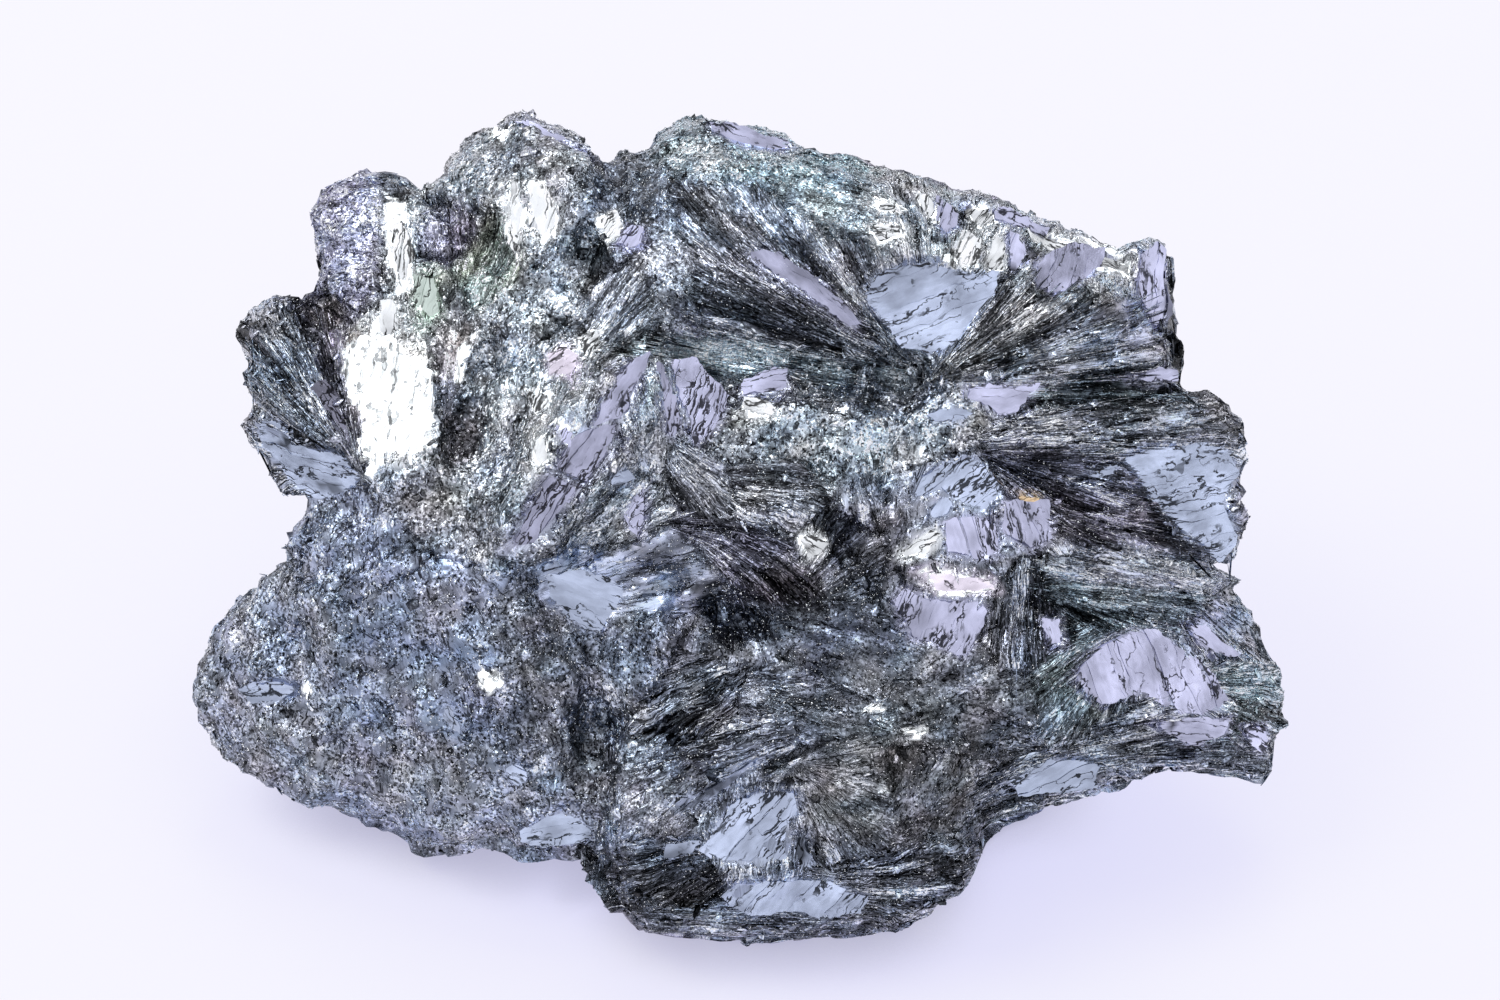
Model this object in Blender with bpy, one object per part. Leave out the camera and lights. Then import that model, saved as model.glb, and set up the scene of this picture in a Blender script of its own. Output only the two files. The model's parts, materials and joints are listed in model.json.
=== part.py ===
"""Specular hematite, a hand specimen about 120 mm across.

One grown-together mass of curved, bladed plates. The plates stand in sheaves that open
like fans, and where a sheaf lies face on it shows a flat, mirror-like plate. The lower
left is a granular lump, and the rough underside is worn flat where the stone rests.

The face that shows best leans back, so the stone is laid out on a face plane: x runs
right, y runs up the face and w stands out of it. World axes are metres, +Z up, and the
stone rests on Z = 0.
"""

import math

import bmesh
import bpy
import numpy as np
from mathutils import Vector, noise

MM = 0.001

# Driving dimensions, in millimetres and degrees.
FACE_LEAN = 40.0  # how far the face's normal is raised above the horizon
FRONT_SWELL = 17.0  # how far the middle of the face stands out of the rim
BACK_SWELL = 48.0  # how far the back lies behind the rim
RIM_HEIGHT = 35.2  # height of the face plane's origin above the ground
GROUND_WEAR = 1.6  # how much of the underside's bumps is worn down to the ground
LEVEL_WITHIN = 0.12  # what lies this close to the ground touches it
TRIANGLES = 9400

# The rim of the face: x and y in millimetres, from the right end round by the top.
RIM = [
    (54.6, -1.2), (55.2, 1.5), (54.4, 4.0), (55.4, 7.9), (54.6, 12.3), (52.4, 14.4),
    (49.2, 15.4), (48.7, 17.8), (48.2, 23.6), (47.7, 29.0), (46.2, 31.9), (43.0, 31.0),
    (39.2, 31.5), (34.3, 33.5), (29.9, 35.5), (26.4, 36.6), (20.5, 37.7), (16.5, 38.9),
    (11.7, 40.9), (9.2, 40.6), (4.7, 43.6), (-5.1, 45.3), (-7.2, 44.7), (-10.5, 42.2),
    (-12.8, 42.0), (-14.2, 40.3), (-16.9, 42.2), (-20.7, 43.9), (-23.8, 45.5),
    (-25.7, 44.4), (-29.8, 42.9), (-31.9, 40.0), (-33.4, 38.0), (-36.6, 38.6),
    (-42.0, 39.3), (-46.0, 36.7), (-46.9, 34.4), (-46.3, 28.4), (-47.8, 25.6),
    (-51.8, 25.3), (-55.3, 21.9), (-54.7, 18.1), (-53.0, 13.6), (-54.1, 11.2),
    (-52.8, 8.6), (-49.4, 4.6), (-48.2, 2.0), (-50.6, -2.4), (-51.4, -4.8),
    (-54.3, -7.5), (-58.3, -12.9), (-59.8, -17.4), (-58.6, -22.0), (-56.3, -25.6),
    (-52.6, -28.2), (-47.5, -31.0), (-42.9, -31.6), (-38.1, -33.2), (-35.2, -34.8),
    (-28.0, -34.8), (-23.6, -36.1), (-16.8, -35.6), (-16.4, -38.1), (-14.8, -40.4),
    (-9.7, -44.4), (-3.0, -45.2), (8.8, -44.9), (17.0, -44.4), (20.6, -42.9),
    (25.7, -38.1), (26.9, -35.4), (27.3, -33.2), (33.3, -31.2), (41.2, -29.3),
    (45.5, -26.9), (52.8, -27.7), (56.8, -27.9), (58.5, -24.6), (60.2, -21.4),
    (59.4, -15.0), (56.5, -10.0), (54.0, -6.6), (53.0, -4.0),
]

# How far the rim itself stands out of the face plane: angle round the face, millimetres.
RIM_STAND = [
    (0, -2.0), (35, -7.0), (70, -7.0), (110, -8.0), (140, -9.0), (165, -5.0),
    (200, -9.0), (230, -8.0), (246, -3.0), (270, 1.0), (300, -1.0), (330, -1.0),
]

# Lumps that stand proud of the face: x, y, half length, half width, turn, height, edge.
# The edge is the share of the lump's radius over which it falls away, small for a ledge.
LUMPS = [
    (6.0, -35.0, 23.0, 17.5, 0, 5.0, 0.22),  # bottom lobe
    (12.0, 2.0, 34.0, 24.0, -35, 4.5, 0.55),  # the middle of the face
    (2.0, 31.0, 21.0, 10.5, -16, 4.0, 0.60),  # top sheaf
    (30.0, 30.0, 20.0, 6.0, -20, 4.0, 0.55),  # ridge over the valley
    (37.0, 17.0, 19.0, 8.5, -4, 3.5, 0.45),  # right fan
    (44.0, -2.0, 16.0, 7.5, -8, 3.0, 0.35),  # right wing, upper plates
    (43.0, -18.0, 17.0, 8.5, -10, 4.0, 0.35),  # right wing, lower plates
    (-23.0, 36.0, 10.5, 9.0, 20, 3.5, 0.50),  # left peak
    (-42.0, 31.0, 6.5, 7.5, 0, 2.5, 0.50),  # left top lobe
    (-38.0, -16.0, 22.0, 17.0, -15, 3.5, 0.75),  # granular lump
    (-49.0, 16.0, 13.0, 5.5, 128, 3.5, 0.40),  # left fan
    (-36.5, 14.0, 6.5, 12.0, -8, 2.5, 0.50),  # bright slope
    (-16.5, 8.5, 16.0, 5.0, 52, 4.5, 0.35),  # long slanting plate
]

# Creases: from x, y to x, y, then depth and half width.
CREASES = [
    (-6.0, 19.8, 17.0, 16.8, 7.0, 5.5),  # the valley above the lip
    (17.0, 16.8, 28.5, 27.5, 4.0, 4.0),
    (-16.0, -3.0, -15.0, -20.0, 3.0, 4.0),  # granular lump against the middle
    (-15.0, -20.0, -16.8, -37.0, 4.5, 3.2),
    (-2.5, -8.0, 0.5, -10.0, 7.0, 3.4),  # dark hollow
    (-13.0, -25.0, 1.0, -19.0, 3.0, 2.4),  # slot over the bottom lobe
    (-33.0, 31.5, -27.0, 30.0, 4.0, 3.0),  # pockets near the left peak
    (-17.6, 27.0, -16.4, 31.5, 4.0, 2.4),
    (-40.6, 6.0, -45.8, 22.5, 3.0, 2.2),  # left fan against the bright slope
    (-53.0, 12.5, -40.8, 6.0, 2.6, 2.0),
    (-14.0, 41.0, -13.0, 34.0, 3.0, 3.0),  # notch between the two peaks
    (28.5, -23.5, 32.0, -24.5, 3.0, 2.4),
    (33.0, 3.0, 54.0, -4.5, 3.0, 2.6),  # between the right wing's plates
    (30.0, -9.0, 40.0, -9.5, 3.0, 2.2),
    (37.0, -23.2, 52.0, -24.0, 2.2, 1.8),
    (30.0, 12.5, 51.0, 15.0, 2.4, 2.6),
    (-29.5, 9.0, -27.0, 18.0, 2.6, 2.6),
    (8.5, 6.0, 17.0, -7.0, 2.4, 3.0),
]

# Sheaves of pages: apex x, y, first and last direction, reach, pages, ledge height.
SHEAVES = [
    (-40.4, 6.2, 112, 166, 20.0, 5, 1.3),  # left fan
    (20.0, 14.0, 96, 176, 36.0, 9, 1.3),  # top sheaf
    (15.0, 15.5, -6, 44, 38.0, 8, 1.4),  # right fan
    (29.0, 4.0, -24, 16, 27.0, 6, 1.5),  # right wing, upper plates
    (26.0, -10.0, -46, -4, 36.0, 7, 1.5),  # right wing, lower plates
    (7.0, -23.0, 184, 246, 25.0, 6, 1.3),  # bottom lobe, left
    (6.0, -25.0, -84, 4, 21.0, 7, 1.0),  # bottom lobe, right
    (-9.5, 21.0, 112, 160, 26.0, 5, 1.2),  # left peak
    (-9.4, 21.9, 218, 262, 30.0, 5, 1.2),  # under the ridge
    (14.0, 2.0, 196, 330, 19.0, 6, 0.7),  # curved sheaf in the middle
]

LEDGE_SHARE = 0.25  # the share of each page's width that its stepped edge falls over

# Flat plates that show face on: x, y, half length, half width, turn, slope x, slope y.
# The slopes say how the plate falls: w changes by that much for each unit of x or y.
PLATES = [
    (20.4, 22.8, 6.8, 5.0, 10, 0.02, -0.12),  # in the valley
    (24.5, 27.0, 3.4, 2.2, 48, 0.25, 0.10),
    (-16.8, 9.4, 13.5, 3.6, 53, -0.34, -0.02),  # long slanting plate
    (-5.2, 14.8, 3.2, 4.6, 8, -0.10, -0.10),
    (2.0, 15.6, 3.2, 1.9, 20, 0.02, -0.20),
    (30.0, 14.2, 5.2, 2.2, 22, 0.04, -0.30),
    (-13.5, -6.5, 8.0, 3.6, 8, -0.12, 0.08),
    (-49.4, 8.6, 4.6, 3.0, -38, 0.06, 0.04),  # under the left fan
    (21.0, 4.6, 4.6, 3.2, -20, 0.02, 0.04),  # cracked cluster
    (19.0, -1.2, 4.4, 2.8, 30, 0.06, -0.14),
    (29.6, 0.0, 3.8, 3.0, -18, 0.18, 0.02),
    (22.5, -7.6, 5.4, 3.4, -12, 0.02, -0.06),
    (48.6, 3.4, 7.0, 4.6, -14, 0.20, 0.02),  # right wing
    (44.4, -15.8, 7.6, 4.0, 6, 0.12, -0.02),
    (53.6, -13.6, 3.4, 2.2, -34, 0.30, 0.04),
    (0.0, -31.6, 7.6, 4.0, 28, 0.00, 0.10),  # bottom lobe
    (5.6, -40.2, 8.0, 2.9, 4, 0.02, 0.34),
    (36.0, 30.0, 6.4, 2.4, -24, 0.10, -0.62),  # ridge over the valley
    (44.6, 25.6, 3.0, 5.0, 4, 0.52, 0.02),
    (26.0, 33.0, 4.4, 2.6, -28, -0.02, -0.70),
    (-36.8, 11.0, 4.4, 7.6, -8, 0.34, -0.38),  # bright slope
    (-42.6, 32.0, 3.8, 5.6, 4, 0.44, -0.36),
    (-22.0, 35.0, 2.9, 4.6, 12, 0.20, -0.42),
    (-53.4, -17.8, 3.0, 1.7, 2, 0.44, -0.06),  # small plates on the granular lump
    (-27.6, -16.6, 2.6, 2.1, -30, 0.14, -0.30),
    (-20.4, -33.6, 4.4, 2.3, -4, 0.05, 0.42),
]

# Broken faces on the back: direction from the middle as x, y, w, then how deep it cuts.
BACK_FACES = [
    (0.92, 0.10, -0.38, 0.08), (0.62, 0.60, -0.50, 0.13), (0.10, 0.72, -0.68, 0.12),
    (-0.45, 0.62, -0.64, 0.15), (-0.90, 0.22, -0.37, 0.08), (-0.72, -0.22, -0.66, 0.13),
    (-0.25, 0.22, -0.94, 0.11), (0.35, 0.15, -0.92, 0.09), (0.66, -0.25, -0.70, 0.14),
    (-0.02, -0.20, -0.98, 0.06), (-0.55, 0.30, -0.78, 0.13), (0.42, 0.48, -0.76, 0.12),
]

PLATE_CUT, PLATE_FILL = 3.0, 1.2  # the most that laying a plate flat takes off or adds

WORN_GREY = (0.30, 0.33, 0.38, 1.0)


def hill(t):
    """One at t = 0, falling smoothly to nothing at t = 1 and beyond."""
    t = np.clip(t, 0.0, 1.0)
    return 1.0 - t * t * (3.0 - 2.0 * t)


def turned(x, y, turn):
    """x and y seen from axes that are turned by that many degrees."""
    a = math.radians(turn)
    return x * math.cos(a) + y * math.sin(a), y * math.cos(a) - x * math.sin(a)


def on_circle(table, angle, period):
    """A table of (angle, value) rows, read smoothly round the circle."""
    rows = sorted((a % period, value) for a, value in table)
    return np.interp(angle % period, [a for a, _ in rows], [v for _, v in rows], period=period)


def rim_reach(angle, blur=0.0):
    """How far the rim lies from the middle of the face, in each direction, or near it."""
    polar = [(math.atan2(y, x), math.hypot(x, y)) for x, y in RIM]
    shifts = np.radians(np.linspace(-blur, blur, 9 if blur else 1))
    return sum(on_circle(polar, angle + shift, 2 * math.pi) for shift in shifts) / len(shifts)


def rim_stand(angle):
    """How far the rim stands out of the face plane, in each direction."""
    return on_circle([(math.radians(a), w) for a, w in RIM_STAND], angle, 2 * math.pi)


def roughness(points, size, octaves=3):
    """Cloudy noise between about -1 and 1, its largest bumps that many millimetres across."""
    return np.array([noise.fractal(Vector(p) / size, 0.8, 2.0, octaves) for p in points])


def lump_height(x, y):
    total = np.zeros_like(x)
    for cx, cy, length, width, turn, height, edge in LUMPS:
        along, across = turned(x - cx, y - cy, turn)
        radius = np.hypot(along / length, across / width)
        total += height * hill((radius - (1.0 - edge)) / (2.0 * edge))
    return total


def crease_depth(x, y):
    total = np.zeros_like(x)
    for x0, y0, x1, y1, depth, half_width in CREASES:
        dx, dy = x1 - x0, y1 - y0
        share = np.clip(((x - x0) * dx + (y - y0) * dy) / (dx * dx + dy * dy), 0.0, 1.0)
        away = np.hypot(x - x0 - share * dx, y - y0 - share * dy)
        total += depth * np.clip(1.0 - away / half_width, 0.0, 1.0) ** 1.3
    return total


def page_ledges(x, y, wander):
    """The stepped edges of the pages in every sheaf, each page overlapping the next."""
    total = np.zeros_like(x)
    for ax, ay, first, last, reach, pages, height in SHEAVES:
        radius = np.hypot(x - ax, y - ay)
        middle, half = math.radians((first + last) / 2), math.radians((last - first) / 2)
        angle = np.arctan2(y - ay, x - ax) - middle
        angle = (angle + math.pi) % (2 * math.pi) - math.pi
        page = (angle / half + 1.0) / 2.0 * pages + 0.6 * wander
        share = page - np.floor(page)
        step = np.minimum(share / (1.0 - LEDGE_SHARE), (1.0 - share) / LEDGE_SHARE) - 0.5
        inside = hill((np.abs(angle) / half - 0.8) / 0.2) * hill((radius / reach - 0.75) / 0.25)
        opening = np.clip(radius / (0.35 * reach), 0.0, 1.0)
        total += height * inside * opening * step
    return total


def with_plates(x, y, w):
    """w with each plate's patch laid flat, at the height that it has there."""
    for cx, cy, length, width, turn, slope_x, slope_y in PLATES:
        along, across = turned(x - cx, y - cy, turn)
        radius = np.maximum(
            np.hypot(along / length, across / width),
            (np.abs(along / length) + np.abs(across / width)) / 1.3,
        )
        inside = hill((radius - 0.8) / 0.35)
        level = (inside * w).sum() / inside.sum()
        plane = level + slope_x * (x - cx) + slope_y * (y - cy)
        w = w + inside * np.clip(plane - w, -PLATE_CUT, PLATE_FILL)
    return w


def front_face(x, y, rise, stand, bumps, wander):
    """w of the face. rise is the height on the round form, 0 at the rim and 1 in the middle."""
    w = stand + FRONT_SWELL * rise**0.9
    inner = hill(1.0 - rise / 0.28)
    w += inner * (lump_height(x, y) - crease_depth(x, y))
    w += hill(1.0 - rise / 0.12) * page_ledges(x, y, wander)
    w += 1.3 * bumps * hill(1.0 - rise / 0.2)
    flat = with_plates(x, y, w)
    return w + hill(1.0 - rise / 0.22) * (flat - w)


def back_scale(directions):
    """How far out the back lies in each direction, with flat broken faces cut into it."""
    scale = np.ones(len(directions))
    for face in BACK_FACES:
        normal = np.array(face[:3]) / np.linalg.norm(face[:3])
        facing = np.maximum(directions @ normal, 1e-3)
        scale = np.minimum(scale, (1.0 - face[3]) / facing)
    return scale


def to_world(x, y, w):
    """Metres from a place on the face: x right, y up the face, w out of it."""
    a = math.radians(FACE_LEAN)
    depth = y * math.sin(a) - w * math.cos(a)
    height = RIM_HEIGHT + y * math.cos(a) + w * math.sin(a)
    return np.stack([x, depth, height], axis=1) * MM


def settle(points):
    """Wears what lies below the ground flat, and leaves shallow hollows between."""
    low = points[:, 2] < GROUND_WEAR * MM
    hollow = roughness(points[low] / MM * (1.0, 1.0, 0.0), 11.0, 2)
    floor = np.clip(hollow * 3.2 - 0.1, 0.0, GROUND_WEAR) * MM
    sunk = points[low, 2]
    points[low, 2] = np.maximum(sunk, np.where(sunk < 0.0, floor, 0.0))
    return points


def shape_stone(mesh):
    """Moves the points of a unit ball to the surface of the stone."""
    ball = np.empty(len(mesh.vertices) * 3)
    mesh.vertices.foreach_get("co", ball)
    ball = ball.reshape(-1, 3)
    angle = np.arctan2(ball[:, 1], ball[:, 0])
    out = np.hypot(ball[:, 0], ball[:, 1])
    front = ball[:, 2] >= 0.0

    ragged = 1.0 + 0.008 * roughness(ball * 60.0, 5.0)
    inner = hill(1.0 - np.abs(ball[:, 2]) / 0.5)
    reach = (rim_reach(angle) * (1.0 - inner) + rim_reach(angle, 40.0) * inner) * out * ragged
    back = np.where(front, 1.0, back_scale(ball))
    x, y = reach * np.cos(angle) * back, reach * np.sin(angle) * back
    bumps = roughness(np.stack([x, y, 14.0 * ball[:, 2]], axis=1), 9.0, 4)
    wander = roughness(np.stack([x, y, np.full_like(x, 40.0)], axis=1), 14.0, 2)

    w = rim_stand(angle) * out**2
    w[front] = front_face(x[front], y[front], ball[front, 2], w[front], bumps[front], wander[front])
    behind = -ball[~front, 2]
    w[~front] += 2.2 * bumps[~front] * np.clip(4.0 * behind, 0.0, 1.0)
    w[~front] -= behind * BACK_SWELL * back[~front]
    world = settle(to_world(x, y, w))
    mesh.vertices.foreach_set("co", world.ravel())
    mesh.update()


def make_material(name, colour):
    material = bpy.data.materials.new(name)
    material.use_nodes = True
    shader = material.node_tree.nodes["Principled BSDF"]
    shader.inputs["Base Color"].default_value = colour
    shader.inputs["Metallic"].default_value = 0.9
    shader.inputs["Roughness"].default_value = 0.35
    return material


def make_hematite(collection):
    """The whole specimen, one solid."""
    mesh = bpy.data.meshes.new("hematite")
    bm = bmesh.new()
    bmesh.ops.create_icosphere(bm, subdivisions=7, radius=1.0)
    bm.to_mesh(mesh)
    bm.free()
    shape_stone(mesh)
    stone = bpy.data.objects.new("hematite", mesh)
    collection.objects.link(stone)
    mesh.materials.append(make_material("specular_hematite", WORN_GREY))
    thin = stone.modifiers.new("fewer_faces", "DECIMATE")
    thin.ratio = TRIANGLES / len(mesh.polygons)
    fewer = stone.evaluated_get(bpy.context.evaluated_depsgraph_get())
    stone.data = bpy.data.meshes.new_from_object(fewer)
    stone.modifiers.clear()
    bpy.data.meshes.remove(mesh)
    stone.data.name = "hematite"
    set_down(stone.data)
    return stone


def set_down(mesh):
    """Makes what is worn to the ground exactly level, and centres the stone over Z = 0."""
    points = np.empty(len(mesh.vertices) * 3)
    mesh.vertices.foreach_get("co", points)
    points = points.reshape(-1, 3)
    points[points[:, 2] < LEVEL_WITHIN * MM, 2] = 0.0
    points[:, :2] -= (points[:, :2].min(axis=0) + points[:, :2].max(axis=0)) / 2.0
    mesh.vertices.foreach_set("co", points.ravel())
    mesh.shade_smooth()
    mesh.set_sharp_from_angle(angle=math.radians(25.0))


def main():
    for thing in list(bpy.data.objects):
        bpy.data.objects.remove(thing)
    collection = bpy.data.collections.new("hematite_specimen")
    bpy.context.scene.collection.children.link(collection)
    make_hematite(collection)


main()
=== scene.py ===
# %% [markdown]
# # Specular hematite, a hand specimen
# Specular hematite is an iron ore that grows as thin, curved, mirror-bright plates. In this
# specimen the plates stand packed together like the pages of a fanned book. Where a fan shows
# its page edges the stone looks fibrous, where a page lies face up it is a mirror, and where
# the crystals are tiny it sparkles like crushed foil.
#
# The lesson builds it in layers: the body of the stone, the mirror plates, the page edges, the
# loose flakes, and then the metal they share, the floor, the light and the camera.

# %% Load the solid model
import json
import math

import bmesh
import bpy
import numpy as np
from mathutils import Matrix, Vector, noise
from mathutils.bvhtree import BVHTree

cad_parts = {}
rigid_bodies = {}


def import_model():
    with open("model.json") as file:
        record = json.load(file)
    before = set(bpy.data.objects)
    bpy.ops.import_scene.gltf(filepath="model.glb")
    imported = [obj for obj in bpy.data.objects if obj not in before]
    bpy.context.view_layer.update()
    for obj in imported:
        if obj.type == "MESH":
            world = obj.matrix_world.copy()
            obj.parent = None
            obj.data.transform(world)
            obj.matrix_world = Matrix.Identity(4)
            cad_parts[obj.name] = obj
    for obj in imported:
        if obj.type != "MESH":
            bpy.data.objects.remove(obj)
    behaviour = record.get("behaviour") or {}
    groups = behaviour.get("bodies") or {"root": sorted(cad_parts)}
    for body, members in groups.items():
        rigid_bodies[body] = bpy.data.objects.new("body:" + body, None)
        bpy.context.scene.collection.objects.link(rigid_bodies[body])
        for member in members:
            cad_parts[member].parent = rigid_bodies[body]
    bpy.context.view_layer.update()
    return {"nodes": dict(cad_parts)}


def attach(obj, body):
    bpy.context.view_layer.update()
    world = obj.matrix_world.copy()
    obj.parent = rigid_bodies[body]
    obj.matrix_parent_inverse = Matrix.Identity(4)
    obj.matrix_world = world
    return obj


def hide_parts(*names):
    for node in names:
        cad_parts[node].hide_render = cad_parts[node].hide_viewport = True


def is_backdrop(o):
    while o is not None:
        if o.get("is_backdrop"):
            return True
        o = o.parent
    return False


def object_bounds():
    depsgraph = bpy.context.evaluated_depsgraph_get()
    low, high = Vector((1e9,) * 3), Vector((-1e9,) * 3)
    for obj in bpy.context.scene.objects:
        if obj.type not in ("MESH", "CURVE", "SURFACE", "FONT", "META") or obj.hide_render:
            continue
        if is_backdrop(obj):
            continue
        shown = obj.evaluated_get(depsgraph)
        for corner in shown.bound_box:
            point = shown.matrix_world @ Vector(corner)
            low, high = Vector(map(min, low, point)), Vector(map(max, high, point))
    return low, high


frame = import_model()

# Draws and noise start from fixed numbers, so the same stone grows every time.
chance = np.random.default_rng(20261)
noise.seed_set(20261)

solid = frame["nodes"]["hematite"]
print("solid model:", len(solid.data.polygons), "faces")

# %% [markdown]
# ## A plane to lay things out on
# The best face of the stone leans back. Every place on it is given in millimetres on a plane
# that leans with it: x to the right, y up the face, and w out of it. Three perpendicular
# directions and an origin are enough to go from the world to this plane and back.

# %% The face plane
MM = 0.001
LEAN = math.radians(40.0)
FACE_ORIGIN = np.array([-0.00025, -0.00462, 0.0352])
RIGHT = np.array([1.0, 0.0, 0.0])
UPWARD = np.array([0.0, math.sin(LEAN), math.cos(LEAN)])
OUTWARD = np.array([0.0, -math.cos(LEAN), math.sin(LEAN)])
FACE_AXES = np.stack([RIGHT, UPWARD, OUTWARD])


def to_face(points):
    return (points - FACE_ORIGIN) @ FACE_AXES.T / MM


def from_face(places):
    return FACE_ORIGIN + np.asarray(places) @ FACE_AXES * MM


def unit(vectors):
    return vectors / np.maximum(np.linalg.norm(vectors, axis=-1, keepdims=True), 1e-9)


def turned(x, y, turn):
    """The same place on axes turned by an angle in degrees."""
    a = math.radians(turn)
    return x * math.cos(a) + y * math.sin(a), y * math.cos(a) - x * math.sin(a)


def fade(t):
    """One at t = 0, falling smoothly to nothing at t = 1."""
    t = np.clip(t, 0.0, 1.0)
    return 1.0 - t * t * (3.0 - 2.0 * t)


# Ways from the stone to the two lamps. The flakes that flash are turned with these too.
KEY_WAY = unit(np.array([-0.53, -0.10, 0.84]))
BACK_WAY = unit(np.array([0.10, 0.34, 0.93]))
print("the middle of the face is at", (from_face([0, 0, 0]) * 1000).round(1), "mm")

# %% [markdown]
# ## The body
# The solid model has the right form but large, flat triangles. It could be subdivided, but its
# long thin triangles would stay long and thin. A voxel remesh gives an even skin instead, and
# the side that shows best is divided once more to carry the fine relief.

# %% An even skin
BODY_CELL = 1.0 * MM


def read_points(mesh, field="co"):
    values = np.empty(len(mesh.vertices) * 3)
    mesh.vertices.foreach_get(field, values)
    return values.reshape(-1, 3)


def mesh_of(bm, name):
    """The finished mesh of a bmesh, which is freed."""
    mesh = bpy.data.meshes.new(name)
    bm.to_mesh(mesh)
    bm.free()
    return mesh


def even_skin():
    bm = bmesh.new()
    bm.from_mesh(solid.data)
    bmesh.ops.remove_doubles(bm, verts=bm.verts, dist=1e-6)
    skin = bpy.data.objects.new("skin", mesh_of(bm, "skin"))
    bpy.context.scene.collection.objects.link(skin)
    remesh = skin.modifiers.new("even", "REMESH")
    remesh.mode = "VOXEL"
    remesh.voxel_size = BODY_CELL
    soften = skin.modifiers.new("soften", "SMOOTH")
    soften.factor = 0.5
    soften.iterations = 2
    made = bpy.data.meshes.new_from_object(skin.evaluated_get(bpy.context.evaluated_depsgraph_get()))
    bpy.data.objects.remove(skin)
    return made


body_mesh = even_skin()
print("even skin:", len(body_mesh.vertices), "points")

# %% Smaller cells on the face
FACE_BOTTOM = 12.0 * MM
FACE_DEPTH = -12.0 * MM
FACE_TURN = 0.1


def divide_front(mesh):
    bm = bmesh.new()
    bm.from_mesh(mesh)
    bm.normal_update()
    out, origin = Vector(OUTWARD), Vector(FACE_ORIGIN)
    edges = set()
    for face in bm.faces:
        middle = face.calc_center_median()
        is_turned = face.normal.dot(out) > FACE_TURN
        if is_turned and middle.z > FACE_BOTTOM and (middle - origin).dot(out) > FACE_DEPTH:
            edges.update(face.edges)
    bmesh.ops.subdivide_edges(bm, edges=list(edges), cuts=1, use_grid_fill=True)
    bm.to_mesh(mesh)
    bm.free()


divide_front(body_mesh)
print("skin with a finer face:", len(body_mesh.vertices), "points")

# %% [markdown]
# ## The ragged outline
# A broken crystal mass has teeth and notches all round, which the solid model leaves out. They
# could be sculpted, but a list of points is easier to check and to change. The outline is
# listed as the camera sees it on the face plane. Every point near the rim then moves in or out
# along its own ray from the middle until the rim meets the outline, so the skin stays whole.

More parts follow.
